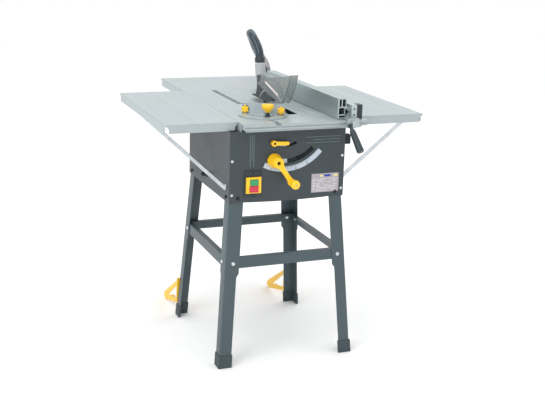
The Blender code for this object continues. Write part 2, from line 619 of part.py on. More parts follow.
def tilt_trunnion():
    """The cradle that swings behind the front panel: two sectors, a shelf, a guide post and a knife holder."""
    sector = arc_band(TILT_CENTRE, 0.1400, 0.0700, -38, 4, 7)
    front = plate(sector, "y", -0.2215, -0.2175)
    rear = plate(sector, "y", 0.1900, 0.1940)
    shelf = block(-0.1000, 0.0000, -0.2195, 0.1920, SHELF_Z, SHELF_Z + 0.0040)
    post = rod((*POST, SHELF_Z + 0.001), (*POST, 0.8300), 0.0060, 12)
    screw_foot = rod((CRANK_X, SCREW_Y, SHELF_Z + 0.001), (CRANK_X, SCREW_Y, 0.6800), 0.0100, 12)
    holder = block(-0.0050, BLADE_X - BLADE_SHEET / 2 - 0.0008, 0.1450, 0.1920, 0.7000, 0.7400)
    x, z = on_tilt(LOCK_RADIUS, LOCK_ANGLE)
    crank_hole = rod((CRANK_X, -0.23, CRANK_Z), (CRANK_X, -0.21, CRANK_Z), 0.0066, 12)
    lock_hole = rod((x, -0.23, z), (x, -0.21, z), 0.0038, 8)
    screw_hole = rod((CRANK_X, SCREW_Y, 0.6660), (CRANK_X, SCREW_Y, 0.70), 0.0056, 12)
    body = fuse(shelf, front, rear, post, screw_foot, holder)
    add("tilt_trunnion", cut(body, crank_hole, lock_hole, screw_hole), "cast_metal", (TILT_X, 0, TABLE_TOP))


def height_screw():
    profile = [(0, 0.6670), (0.0050, 0.6670), (0.0050, 0.6860), (0.0110, 0.6880), (0.0085, 0.6980),
               (0.0050, 0.7000), (0.0050, 0.8300), (0, 0.8300)]
    screw = turned(profile, (CRANK_X, SCREW_Y, 0), (0, 0, 1), 12)
    add("height_screw", screw, "zinc", (CRANK_X, SCREW_Y, 0.6670))


MOTOR_Z = 0.7350
MOTOR_RADIUS = 0.0440


def motor_and_arbor():
    profile = [(0, -0.1650), (0.0300, -0.1650), (0.0400, -0.1560), (0.0400, -0.1380), (MOTOR_RADIUS, -0.1360),
               (MOTOR_RADIUS, -0.0420), (0.0360, -0.0400), (0.0360, -0.0300), (0, -0.0300)]
    can = turned(profile, (0, 0, MOTOR_Z), (1, 0, 0), 24)
    saddle = block(-0.1150, -0.0310, -0.0300, 0.0300, 0.7600, 0.7880)
    yoke = block(-0.0680, -0.0360, -0.1160, 0.1160, 0.7840, 0.7920)
    holes = [rod((CRANK_X, SCREW_Y, 0.77), (CRANK_X, SCREW_Y, 0.80), 0.0056, 12),
             rod((*POST, 0.77), (*POST, 0.80), 0.0066, 12)]
    add("motor_housing", cut(fuse(can, saddle, yoke), *holes), "motor_metal")
    case = turned([(0, -0.0295), (0.0400, -0.0295), (0.0400, 0.0060), (0.0220, 0.0160), (0.0220, 0.0285),
                   (0, 0.0285)], (0, 0, ARBOR_Z - 0.012), (1, 0, 0), 24)
    bore = rod((0.0100, 0, ARBOR_Z), (0.0400, 0, ARBOR_Z), 0.0085, 16)
    add("arbor_housing", cut(case, bore), "cast_metal")


def blade():
    """The toothed disc: 40 teeth with their gullets, and a bore for the arbor."""
    teeth = 40
    gullet = BLADE_RADIUS - 0.0085
    outline = []
    for i in range(teeth):
        base = 360 * i / teeth
        for share, radius in ((0.00, BLADE_RADIUS), (0.34, BLADE_RADIUS - 0.0020), (0.46, gullet), (0.80, gullet)):
            outline.append(arc((0, ARBOR_Z), radius, base + share * 360 / teeth, base, 1)[0])
    half = BLADE_SHEET / 2
    disc = plate(outline, "x", BLADE_X - half, BLADE_X + half)
    bore = rod((0.03, 0, ARBOR_Z), (0.05, 0, ARBOR_Z), 0.0105, 20)
    add("saw_blade", cut(disc, bore), "blade_steel", (BLADE_X, 0, ARBOR_Z))
    step = half + GAP
    root = 0.0140 - BLADE_X
    profile = [(0, root), (0.0075, root), (0.0075, -step - 0.0055), (0.0180, -step - 0.0055), (0.0180, -step),
               (0.0100, -step), (0.0100, step), (0.0180, step), (0.0180, step + 0.0030), (0.0090, step + 0.0032),
               (0.0090, step + 0.0090), (0.0050, step + 0.0110), (0, step + 0.0110)]
    arbor = turned(profile, (BLADE_X, 0, ARBOR_Z), (1, 0, 0), 20)
    add("arbor_and_flanges", arbor, "zinc", (BLADE_X, 0, ARBOR_Z))


def riving_knife():
    outline = [(0.1310, 0.7020), (0.1750, 0.7020), (0.1750, 0.8900), (0.1620, 0.9200), (0.1420, 0.9200),
               (0.1310, 0.9000)]
    add("riving_knife", plate(outline, "x", BLADE_X - 0.0011, BLADE_X + 0.0011), "blade_steel")


# ---------------------------------------------------------------- guard and hose

SPIGOT_FOOT = Vector((BLADE_X, 0.1630, 0.9400))
SPIGOT_TIP = Vector((BLADE_X, 0.1745, 0.9850))
SPIGOT_RADIUS, SPIGOT_BORE = 0.0195, 0.0165
GUARD_PIVOT = (BLADE_X, 0.1500, 0.9280)
NOSE = [(-0.1540, 0.9871), (-0.1450, 0.9592), (-0.1265, 0.9260), (-0.1056, 0.9027), (-0.0853, 0.8833)]
NOSE_SHEET = 0.0022
NOTCH_HALF, NOTCH_TOP = 0.0040, 0.8925
COVER_TOP = [(-0.0900, 0.9761), (-0.0400, 0.9679), (0.0045, 0.9605), (0.0363, 0.9546), (0.0642, 0.9525),
             (0.0926, 0.9518), (0.1120, 0.9542), (0.1270, 0.9592), (0.1400, 0.9640)]
COVER_LOW = [(0.1640, 0.9400), (0.1640, 0.9150), (0.0933, 0.9000), (0.0493, 0.8920), (0.0156, 0.8870),
             (-0.0360, 0.8800)]


def guard_bracket():
    """The dark body on the riving knife: two cheeks beside the blade, a solid heel and the hose spigot."""
    outline = [(0.0060, 0.8735), (0.0760, 0.8620), (0.2200, 0.8620), (0.2170, 0.8670), (0.1800, 0.8700),
               (0.1680, 0.9050), (0.1780, 0.9480), (0.1480, 0.9480), (0.1250, 0.9200), (0.0830, 0.9040),
               (0.0380, 0.8920)]
    half = GUARD_HALF - GUARD_WALL - 0.0006
    body = plate(outline, "x", BLADE_X - half, BLADE_X + half)
    blade_room = block(BLADE_X - half + 0.0022, BLADE_X + half - 0.0022, -0.02, 0.1230, 0.85, 1.0)
    knife_room = block(BLADE_X - 0.0015, BLADE_X + 0.0015, 0.1200, 0.1760, 0.85, 0.9215)
    run = (SPIGOT_TIP - SPIGOT_FOOT).normalized()
    pipe = rod(SPIGOT_FOOT, SPIGOT_TIP, SPIGOT_RADIUS, 20)
    bore = rod(SPIGOT_FOOT + run * 0.0200, SPIGOT_TIP + run * 0.01, SPIGOT_BORE, 20)
    pin_hole = rod((0.0, *GUARD_PIVOT[1:]), (0.08, *GUARD_PIVOT[1:]), 0.0036, 10)
    add("guard_bracket", cut(fuse(cut(body, blade_room, knife_room), pipe), bore, pin_hole), "black_plastic",
        (TILT_X, 0, TABLE_TOP))


def guard_cover():
    """The clear hood over the blade, open below, with two ears that turn on the bracket."""
    front = [(y + NOSE_SHEET + GAP * 2, z) for y, z in NOSE]
    outline = front[:1] + COVER_TOP + COVER_LOW + front[:0:-1]
    body = plate(outline, "x", BLADE_X - GUARD_HALF, BLADE_X + GUARD_HALF)
    roof = [(y, z - GUARD_WALL) for y, z in front[:1] + COVER_TOP]
    inside = [(-0.2000, roof[0][1] + 0.0100), *roof, (0.2000, 0.9640), (0.2000, 0.8500), (-0.2000, 0.8500)]
    inner = GUARD_HALF - GUARD_WALL
    hollow = plate(inside, "x", BLADE_X - inner, BLADE_X + inner)
    spigot_room = block(BLADE_X - 0.03, BLADE_X + 0.03, 0.1280, 0.2000, 0.9340, 1.0)
    pin = [rod((BLADE_X + side * (GUARD_HALF + 0.0020), *GUARD_PIVOT[1:]),
               (BLADE_X + side * 0.0060, *GUARD_PIVOT[1:]), 0.0032, 10) for side in (-1, 1)]
    add("guard_cover", fuse(cut(body, hollow, spigot_room), *pin), "smoked_plastic", GUARD_PIVOT)


def guard_flap():
    """The leaning front window of the hood, notched at its foot for the blade at full height."""
    outline = NOSE + [(y + NOSE_SHEET, z) for y, z in reversed(NOSE)]
    window = plate(outline, "x", BLADE_X - GUARD_HALF, BLADE_X + GUARD_HALF)
    notch = block(BLADE_X - NOTCH_HALF, BLADE_X + NOTCH_HALF, NOSE[-2][0], 0.0, 0.8700, NOTCH_TOP)
    add("guard_flap", cut(window, notch), "smoked_plastic", GUARD_PIVOT)


HOSE_ROUTE = [
    (0.0420, 0.1753, 0.9884), (0.0430, 0.1810, 1.0080), (0.0420, 0.1880, 1.0290), (0.0370, 0.1980, 1.0510),
    (0.0290, 0.2160, 1.0750), (0.0300, 0.2470, 1.0860), (0.0440, 0.2850, 1.0800), (0.0680, 0.3330, 1.0580),
    (0.1050, 0.4000, 1.0200), (0.1480, 0.4800, 0.9850), (0.1930, 0.5600, 0.9550), (0.2350, 0.6350, 0.9260),
    (0.2650, 0.6900, 0.8990), (0.2810, 0.7180, 0.8700), (0.2850, 0.7280, 0.8380), (0.2850, 0.7260, 0.8000),
    (0.2780, 0.7060, 0.7600), (0.2560, 0.6650, 0.7200), (0.2200, 0.6000, 0.6880), (0.1800, 0.5200, 0.6680),
    (0.1480, 0.4400, 0.6580), (0.1280, 0.3600, 0.6560), (0.1210, 0.3000, 0.6590), (0.1200, 0.2700, 0.6600),
    (0.1200, HALF_DEPTH + 0.0286, 0.6600),
]


def smooth_route(points, per_span):
    """Points on a Catmull-Rom curve through a route."""
    knots = [Vector(point) for point in points]
    knots = [knots[0] * 2 - knots[1]] + knots + [knots[-1] * 2 - knots[-2]]
    route = []
    for a, b, c, d in zip(knots, knots[1:], knots[2:], knots[3:]):
        for i in range(per_span):
            t = i / per_span
            route.append(0.5 * (2 * b + (c - a) * t + (2 * a - 5 * b + 4 * c - d) * t ** 2
                                + (3 * b - a - 3 * c + d) * t ** 3))
    return route + [knots[-2]]


def hose():
    curve = bpy.data.curves.new("hose", "CURVE")
    curve.dimensions = "3D"
    curve.bevel_depth = HOSE_RADIUS
    curve.bevel_resolution = 3
    curve.use_fill_caps = True
    route = smooth_route(HOSE_ROUTE, 2)
    spline = curve.splines.new("POLY")
    spline.points.add(len(route) - 1)
    for point, place in zip(spline.points, route):
        point.co = (*place, 1.0)
    curve.materials.append(material("hose_rubber"))
    obj = bpy.data.objects.new("hose", curve)
    bpy.context.scene.collection.objects.link(obj)
    obj.parent = bpy.data.objects["saw_origin"]


# ---------------------------------------------------------------- rip fence

def fence():
    x, z0, z1 = FENCE_X, FENCE_BOTTOM, FENCE_TOP
    body = fuse(block(x, x + 0.0330, FENCE_FRONT, FENCE_REAR, z0, z1),
                block(x + 0.0300, x + 0.0420, FENCE_FRONT, FENCE_REAR, z0, z0 + 0.0400))
    near, far = FENCE_FRONT - 0.01, FENCE_REAR + 0.01
    slots = [block(x + 0.0060, x + 0.0140, near, far, z0 + 0.0420, z1 - 0.0040),
             block(x + 0.0050, x + 0.0250, near, far, z0 + 0.0160, z0 + 0.0370),
             block(x + 0.0280, x + 0.0360, near, far, z0 + 0.0130, z0 + 0.0340),
             block(x + 0.0350, x + 0.0500, near, far, z0 + 0.0200, z0 + 0.0270),
             block(x + 0.0060, x + 0.0320, near, far, z0 + 0.0050, z0 + 0.0110),
             block(x + 0.0180, x + 0.0290, near, far, z0 + 0.0420, z1 - 0.0040)]
    add("fence_profile", cut(body, *slots), "aluminium")
    foot_y0, foot_y1 = RAIL_FRONT - 0.0170, FENCE_FRONT + 0.0250
    bar_x0, bar_x1 = x + 0.0425, x + 0.0620
    arm = block(bar_x0, bar_x1, -0.2700, -0.1900, z0, z0 + 0.0490)
    hook_top = block(bar_x0 - 0.0200, bar_x1, foot_y0, FENCE_FRONT - GAP, z0, z0 + 0.0080)
    hook = block(bar_x0 - 0.0200, bar_x1, foot_y0, RAIL_FRONT - 0.0010, TABLE_TOP - 0.0220, z0 + 0.0080)
    cap = block(x + 0.0610, x + 0.0860, -0.2640, -0.2340, z0 - 0.0001, z0 + 0.0490)
    ear = block(bar_x0 - 0.0100, bar_x0 + 0.0025, foot_y0 - 0.0120, foot_y0 + 0.0010, TABLE_TOP - 0.0220,
                z0 + 0.0020)
    pin = rod((bar_x0 - 0.0200, foot_y0 - 0.0070, TABLE_TOP - 0.0140),
              (bar_x0 + 0.0030, foot_y0 - 0.0070, TABLE_TOP - 0.0140), 0.0025, 8)
    add("fence_clamp", fuse(arm, hook_top, hook, cap, ear, pin), "cast_metal")
    clamp_lever(bar_x0 - 0.0104, foot_y0 - 0.0070, TABLE_TOP - 0.0140)


def clamp_lever(x1, y, z):
    """The dark grip below the rail; it leans forward and turns about a pin along X."""
    centre = Vector((x1 - 0.0060, y, z))
    eye = rod((x1 - 0.0120, y, z), (x1, y, z), 0.0065, 14)
    run = Vector((0.10, -0.66, -0.745)).normalized()
    neck = rod(centre + run * 0.003, centre + run * 0.032, 0.0058, 12)
    grip = turned([(0, 0.0180), (0.0090, 0.0180), (0.0105, 0.0300), (0.0120, 0.0700), (0.0128, 0.0980),
                   (0.0110, 0.1010), (0, 0.1010)], centre, run, 16)
    pin_hole = rod((x1 - 0.02, y, z), (x1 + 0.01, y, z), 0.0030, 8)
    add("clamp_lever", cut(fuse(eye, neck, grip), pin_hole), "black_plastic", (x1, y, z))


# ---------------------------------------------------------------- mitre gauge

HEAD_TOP = TABLE_TOP + 0.0052
LOCK_OFFSET = 0.0450


def mitre_gauge():
    bar = block(GROOVE_X - 0.0091, GROOVE_X + 0.0091, MAIN_FRONT + 0.0150, 0.1000, TABLE_TOP - 0.0090,
                TABLE_TOP - 0.0005)
    pivot_pin = turned([(0, -0.004), (0.0040, -0.004), (0.0040, HEAD_TOP - TABLE_TOP + 0.0004),
                        (0.0070, HEAD_TOP - TABLE_TOP + 0.0004), (0.0062, HEAD_TOP - TABLE_TOP + 0.0030),
                        (0, HEAD_TOP - TABLE_TOP + 0.0034)], (GROOVE_X, HEAD_Y, TABLE_TOP), (0, 0, 1), 12)
    stud = rod((GROOVE_X, HEAD_Y - LOCK_OFFSET, TABLE_TOP - 0.004),
               (GROOVE_X, HEAD_Y - LOCK_OFFSET, HEAD_TOP + 0.0200), 0.0030, 10)
    add("mitre_bar", fuse(bar, pivot_pin, stud), "zinc")
    turn = Matrix.Translation((GROOVE_X, HEAD_Y, 0)) @ Matrix.Rotation(math.radians(HEAD_TURN), 4, "Z")
    pivot = (GROOVE_X, HEAD_Y, TABLE_TOP)
    add("mitre_head", moved(mitre_head(), turn), "cast_metal", pivot)
    add("mitre_fence", moved(mitre_fence(), turn), "aluminium", pivot)
    for name, x in (("left_star_knob", -STAR_X), ("right_star_knob", STAR_X)):
        add(name, moved(star_knob(x), turn), "yellow_plastic", turn @ Vector((x, 0, STAR_Z)))
    lock_knob()


def lock_knob():
    """The goblet-shaped knob that clamps the protractor, on a collar around the bar's stud."""
    y, base = HEAD_Y - LOCK_OFFSET, HEAD_TOP + 0.0070
    goblet = [(0, 0), (0.0085, 0), (0.0085, 0.0030), (0.0120, 0.0050), (0.0180, 0.0140), (0.0205, 0.0220),
              (0.0205, 0.0320), (0.0180, 0.0350), (0, 0.0350)]
    knob = turned(goblet, (GROOVE_X, y, base), (0, 0, 1), 24)
    collar = rod((GROOVE_X, y, HEAD_TOP + GAP), (GROOVE_X, y, base + 0.001), 0.0075, 12)
    bore = rod((GROOVE_X, y, TABLE_TOP), (GROOVE_X, y, HEAD_TOP + 0.0220), 0.0034, 10)
    add("mitre_lock_knob", cut(fuse(knob, collar), bore), "yellow_plastic", (GROOVE_X, y, HEAD_TOP))


def mitre_head():
    """The half-round protractor head with its arc slot and the upstand that carries the fence plate."""
    rim = arc((0, 0.0), HEAD_RADIUS, -90, 90, 16)
    outline = rim + [(HEAD_RADIUS - 0.004, 0.0130), (-HEAD_RADIUS + 0.004, 0.0130)]
    disc = plate(outline, "z", TABLE_TOP + GAP, HEAD_TOP)
    upstand = block(-0.0740, 0.0740, 0.0100, 0.0150, TABLE_TOP + 0.0010, TABLE_TOP + 0.0330)
    pin_hole = rod((0, 0, 0.84), (0, 0, 0.87), 0.0045, 12)
    slot = plate(arc_band((0, 0), LOCK_OFFSET, 0.0038, -66, 66, 14), "z", 0.84, 0.87)
    holes = [rod((x, 0.0, STAR_Z), (x, 0.03, STAR_Z), 0.0030, 8) for x in (-STAR_X, STAR_X)]
    return cut(fuse(disc, upstand), pin_hole, slot, *holes)


STAR_X, STAR_Z = 0.0620, TABLE_TOP + 0.0190


def mitre_fence():
    body = block(-0.0740, 0.0740, 0.0154, 0.0234, TABLE_TOP + 0.0012, TABLE_TOP + 0.0390)
    slot = block(-0.0800, 0.0800, 0.0174, 0.0214, STAR_Z - 0.0060, STAR_Z + 0.0060)
    mouth = block(-0.0800, 0.0800, 0.0100, 0.0200, STAR_Z - 0.0034, STAR_Z + 0.0034)
    return cut(body, slot, mouth)


def star_knob(x):
    """A star-shaped knob whose screw goes through the upstand into the fence plate's slot."""
    points = []
    for i in range(24):
        angle = 2 * math.pi * i / 24
        radius = 0.0112 + 0.0018 * math.cos(6 * angle)
        points.append((x + radius * math.sin(angle), STAR_Z + radius * math.cos(angle)))
    star = plate(points, "y", -0.0030, 0.0060)
    neck = rod((x, 0.0050, STAR_Z), (x, 0.0096, STAR_Z), 0.0065, 10)
    screw = rod((x, 0.0080, STAR_Z), (x, 0.0200, STAR_Z), 0.0024, 8)
    head = rod((x, 0.0178, STAR_Z), (x, 0.0210, STAR_Z), 0.0050, 8)
    return fuse(star, neck, screw, head)


# ---------------------------------------------------------------- assembly

def main():
    for obj in list(bpy.data.objects):
        bpy.data.objects.remove(obj)
    origin = bpy.data.objects.new("saw_origin", None)
    bpy.context.scene.collection.objects.link(origin)
    origin.location = -ORIGIN
    main_table()
    table_insert()
    extension_tables()
    struts()
    fence_rail()
    front_panel()
    rear_panel()
    side_panel("left_panel", -1, [(0.0115, 0.6226, 0.0056)])
    side_panel("right_panel", 1, [])
    gland()
    side_bracket()
    dust_port()
    legs_and_feet()
    braces()
    stabilisers()
    switch()
    tilt_scale()
    crank()
    lock_lever()
    tilt_trunnion()
    height_screw()
    motor_and_arbor()
    blade()
    riving_knife()
    guard_bracket()
    guard_cover()
    guard_flap()
    hose()
    fence()
    mitre_gauge()


main()
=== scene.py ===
"""The table saw's looks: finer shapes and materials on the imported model, a pale floor, soft light and a camera.

Metres. Shapes are written in the saw's own coordinates, with X = 0 and Y = 0 at the middle of the housing
and the operator at -Y; add() moves them into the part's frame.
"""
import json
import math
import random

import bmesh
import bpy
from mathutils import Matrix, Vector
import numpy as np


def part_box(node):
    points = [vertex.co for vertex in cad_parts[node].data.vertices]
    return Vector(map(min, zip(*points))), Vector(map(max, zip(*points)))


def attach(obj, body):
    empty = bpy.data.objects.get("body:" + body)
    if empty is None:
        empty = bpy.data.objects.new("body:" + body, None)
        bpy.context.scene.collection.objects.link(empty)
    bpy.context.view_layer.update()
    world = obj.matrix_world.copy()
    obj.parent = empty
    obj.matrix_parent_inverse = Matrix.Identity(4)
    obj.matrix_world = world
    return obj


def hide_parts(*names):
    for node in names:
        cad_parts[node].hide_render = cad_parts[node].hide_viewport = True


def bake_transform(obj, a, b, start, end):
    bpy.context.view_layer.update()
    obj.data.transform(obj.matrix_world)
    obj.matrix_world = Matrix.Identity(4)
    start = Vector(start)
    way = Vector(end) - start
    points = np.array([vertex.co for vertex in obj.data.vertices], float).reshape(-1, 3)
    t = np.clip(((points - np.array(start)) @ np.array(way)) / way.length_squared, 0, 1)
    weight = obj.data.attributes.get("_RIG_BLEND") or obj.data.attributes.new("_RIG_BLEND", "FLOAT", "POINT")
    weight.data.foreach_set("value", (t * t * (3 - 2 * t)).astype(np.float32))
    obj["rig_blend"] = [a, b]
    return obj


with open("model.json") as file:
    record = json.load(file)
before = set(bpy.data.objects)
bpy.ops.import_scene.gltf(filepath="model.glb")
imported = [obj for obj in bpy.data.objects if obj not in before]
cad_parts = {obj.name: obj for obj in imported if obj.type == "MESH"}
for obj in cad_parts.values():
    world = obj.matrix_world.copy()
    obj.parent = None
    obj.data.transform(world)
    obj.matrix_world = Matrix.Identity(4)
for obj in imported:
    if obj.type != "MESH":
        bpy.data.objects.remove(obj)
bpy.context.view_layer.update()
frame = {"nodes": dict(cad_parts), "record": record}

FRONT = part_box("front_panel")
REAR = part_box("rear_panel")
HOUSE = Vector(((FRONT[0].x + FRONT[1].x) / 2, (FRONT[0].y + REAR[1].y) / 2, 0.0))
BODY_OF = {node: body for body, nodes in frame["record"]["behaviour"]["bodies"].items() for node in nodes}
SLOT_OF = {part["node"]: part["material_slot"] for part in frame["record"]["subparts"]}

GAP = 0.0003
TABLE_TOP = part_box("main_table")[1].z
FRONT_FACE = FRONT[0].y - HOUSE.y
HALF_WIDTH = FRONT[1].x - HOUSE.x
TILT = (-0.0115, TABLE_TOP)
BLADE_X = 0.0420

AXES = {
    "x": lambda u, v, w: (w, u, v),
    "y": lambda u, v, w: (u, w, v),
    "z": lambda u, v, w: (u, v, w),
}


def saw_box(node):
    """A CAD node's lowest and highest corner in the saw's coordinates."""
    low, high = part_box(node)
    return low - HOUSE, high - HOUSE


# ---------------------------------------------------------------- camera, floor and light

def camera():
    """A long lens from the operator's left, a little above the tables."""
    yaw, pitch, roll = math.radians(21.7303), math.radians(15.3505), math.radians(1.6798)
    ahead = Vector((math.sin(yaw) * math.cos(pitch), math.cos(yaw) * math.cos(pitch), -math.sin(pitch)))
    level = Vector((math.cos(yaw), -math.sin(yaw), 0.0))
    above = level.cross(ahead)
    right = level * math.cos(roll) + above * math.sin(roll)
    up = above * math.cos(roll) - level * math.sin(roll)
    data = bpy.data.cameras.new("camera")
    data.lens = 66.417
    data.sensor_width = 36.0
    data.clip_end = 60.0
    obj = bpy.data.objects.new("camera", data)
    bpy.context.scene.collection.objects.link(obj)
    turn = Matrix((right, up, -ahead)).transposed().to_4x4()
    obj.matrix_world = Matrix.Translation(HOUSE + Vector((-1.2698, -3.2806, 1.4804))) @ turn
    bpy.context.scene.camera = obj


def area_light(name, place, target, size, power, colour=(1.0, 1.0, 1.0)):
    data = bpy.data.lights.new(name, "AREA")
    data.shape = "DISK"
    data.size = size
    data.energy = power
    data.color = colour
    obj = bpy.data.objects.new(name, data)
    obj.location = place
    obj.rotation_euler = (Vector(target) - Vector(place)).to_track_quat("-Z", "Y").to_euler()
    bpy.context.scene.collection.objects.link(obj)


def studio():
    """A pale floor that fades into a white room, one large soft key from the left and two fills."""
    mesh = bpy.data.meshes.new("floor")
    mesh.from_pydata([(-9, -9, 0), (9, -9, 0), (9, 9, 0), (-9, 9, 0)], [], [(0, 1, 2, 3)])
    floor = bpy.data.objects.new("floor", mesh)
    bpy.context.scene.collection.objects.link(floor)
    graph = Graph("floor_paint")
    graph.shader.inputs["Base Color"].default_value = (1.0, 1.0, 1.0, 1.0)
    graph.shader.inputs["Roughness"].default_value = 0.9
    mesh.materials.append(graph.material)
    world = bpy.data.worlds.new("studio")
    world.use_nodes = True
    world.node_tree.nodes["Background"].inputs["Color"].default_value = (1.0, 1.0, 1.0, 1.0)
    world.node_tree.nodes["Background"].inputs["Strength"].default_value = 1.0
    bpy.context.scene.world = world
    bpy.context.scene.view_settings.view_transform = "Standard"
    area_light("key", (-2.6, -1.9, 3.4), (0.0, 0.0, 0.6), 2.2, 52)
    area_light("top", (0.6, 0.4, 4.0), (0.0, 0.0, 0.8), 3.0, 28)
    area_light("rim", (2.8, 1.6, 2.2), (0.0, 0.0, 0.8), 1.6, 14)


# ---------------------------------------------------------------- materials

class Graph:
    """One material's node tree, with short calls for the nodes that the finishes below share."""

    def __init__(self, name):
        self.material = bpy.data.materials.new(name)
        self.material.use_nodes = True
        self.tree = self.material.node_tree
        self.shader = self.tree.nodes["Principled BSDF"]
        self.coords = self.tree.nodes.new("ShaderNodeTexCoord").outputs["Object"]

    def node(self, kind, inputs=(), **settings):
        made = self.tree.nodes.new(kind)
        for key, value in settings.items():
            setattr(made, key, value)
        for key, value in dict(inputs).items():
            self.put(value, made.inputs[key])
        return made

    def put(self, value, socket):
        if isinstance(value, bpy.types.NodeSocket):
            self.tree.links.new(value, socket)
        else:
            socket.default_value = value

    def noise(self, scale, detail=3.0, stretch=(1.0, 1.0, 1.0)):
        spread = self.node("ShaderNodeMapping", {"Vector": self.coords, "Scale": stretch})
        sockets = {"Vector": spread.outputs[0], "Scale": scale, "Detail": detail}
        return self.node("ShaderNodeTexNoise", sockets).outputs[0]

    def span(self, value, low, high, to_low, to_high):
        inputs = {"Value": value, "From Min": low, "From Max": high, "To Min": to_low, "To Max": to_high}
        return self.node("ShaderNodeMapRange", inputs).outputs[0]

    def sum(self, a, b, operation="ADD"):
        return self.node("ShaderNodeMath", {0: a, 1: b}, operation=operation).outputs[0]

    def tint(self, share, a, b):
        mix = self.node("ShaderNodeMix", data_type="RGBA")
        self.put(share, mix.inputs["Factor"])
        self.put(a, mix.inputs[6])
        self.put(b, mix.inputs[7])
        return mix.outputs[2]

    def bump(self, height, strength, distance):
        made = self.node("ShaderNodeBump", {"Height": height, "Strength": strength, "Distance": distance})
        self.put(made.outputs[0], self.shader.inputs["Normal"])

    def edges(self, radius=0.0012):
        """1 on sharp outer edges, 0 on flat faces."""
        soft = self.node("ShaderNodeBevel", {"Radius": radius}, samples=4).outputs[0]
        hard = self.node("ShaderNodeNewGeometry").outputs["Normal"]
        cosine = self.node("ShaderNodeVectorMath", {0: soft, 1: hard}, operation="DOT_PRODUCT").outputs["Value"]
        return self.span(cosine, 0.99, 0.80, 0.0, 1.0)


def shade(colour, factor):
    return (*[min(1.0, value * factor) for value in colour], 1.0)


def finish(name, colour, roughness, metallic=0.0, cloud=(6.0, 0.06), grain=(900.0, 0.10, 0.0002),
           stretch=(1.0, 1.0, 1.0), streak=0.0, edge_highlight=0.0, coat=0.0):
    """A painted, moulded, cast or ground surface: cloudy colour, grain with bump, streaks and a painted highlight on
    sharp edges.
    """
    graph = Graph(name)
    low = graph.noise(cloud[0], 4.0)
    fine = graph.noise(grain[0], 2.0, stretch)
    colour_share = graph.span(low, 0.3, 0.7, 0.0, 1.0)
    base = graph.tint(colour_share, shade(colour, 1 - cloud[1]), shade(colour, 1 + cloud[1]))
    if streak:
        lines = graph.noise(60.0, 5.0, stretch)
        base = graph.tint(graph.span(lines, 0.45, 0.75, 0.0, streak), base, shade(colour, 0.72))
    # Painted highlight: the colour is lightened on sharp outer edges to stand in for light catching them.
    if edge_highlight:
        base = graph.tint(graph.sum(graph.edges(), edge_highlight, "MULTIPLY"), base, shade(colour, 2.2))
    graph.put(base, graph.shader.inputs["Base Color"])
    rough = graph.sum(graph.span(low, 0.3, 0.7, -0.05, 0.05), graph.span(fine, 0.3, 0.7, -0.05, 0.05))
    graph.put(graph.sum(rough, roughness), graph.shader.inputs["Roughness"])
    graph.shader.inputs["Metallic"].default_value = metallic
    graph.shader.inputs["Coat Weight"].default_value = coat
    graph.bump(fine, grain[1], grain[2])
    return graph.material


def smoked_finish(name, colour, alpha):
    """Clear smoke-grey plastic with faint scuffs and a slow ripple."""
    graph = Graph(name)
    scuffs = graph.noise(240.0, 6.0, (1.0, 0.15, 1.0))
    ripple = graph.noise(18.0, 2.0)
    base = graph.tint(graph.span(scuffs, 0.5, 0.8, 0.0, 0.5), shade(colour, 1.0), shade(colour, 1.6))
    graph.put(base, graph.shader.inputs["Base Color"])
    graph.put(graph.span(scuffs, 0.4, 0.8, 0.08, 0.30), graph.shader.inputs["Roughness"])
    graph.shader.inputs["Alpha"].default_value = alpha
    graph.shader.inputs["IOR"].default_value = 1.49
    graph.bump(ripple, 0.15, 0.001)
    return graph.material


def hose_finish(name):
    graph = Graph(name)
    dust = graph.noise(30.0, 5.0)
    fine = graph.noise(700.0, 2.0)
    base = graph.tint(graph.span(dust, 0.4, 0.75, 0.0, 1.0), (0.008, 0.024, 0.040, 1.0), (0.018, 0.044, 0.062, 1.0))
    graph.put(base, graph.shader.inputs["Base Color"])
    graph.put(graph.span(dust, 0.3, 0.7, 0.16, 0.24), graph.shader.inputs["Roughness"])
    graph.shader.inputs["Coat Weight"].default_value = 0.35
    graph.shader.inputs["Coat Roughness"].default_value = 0.12
    graph.bump(fine, 0.12, 0.0002)
    return graph.material


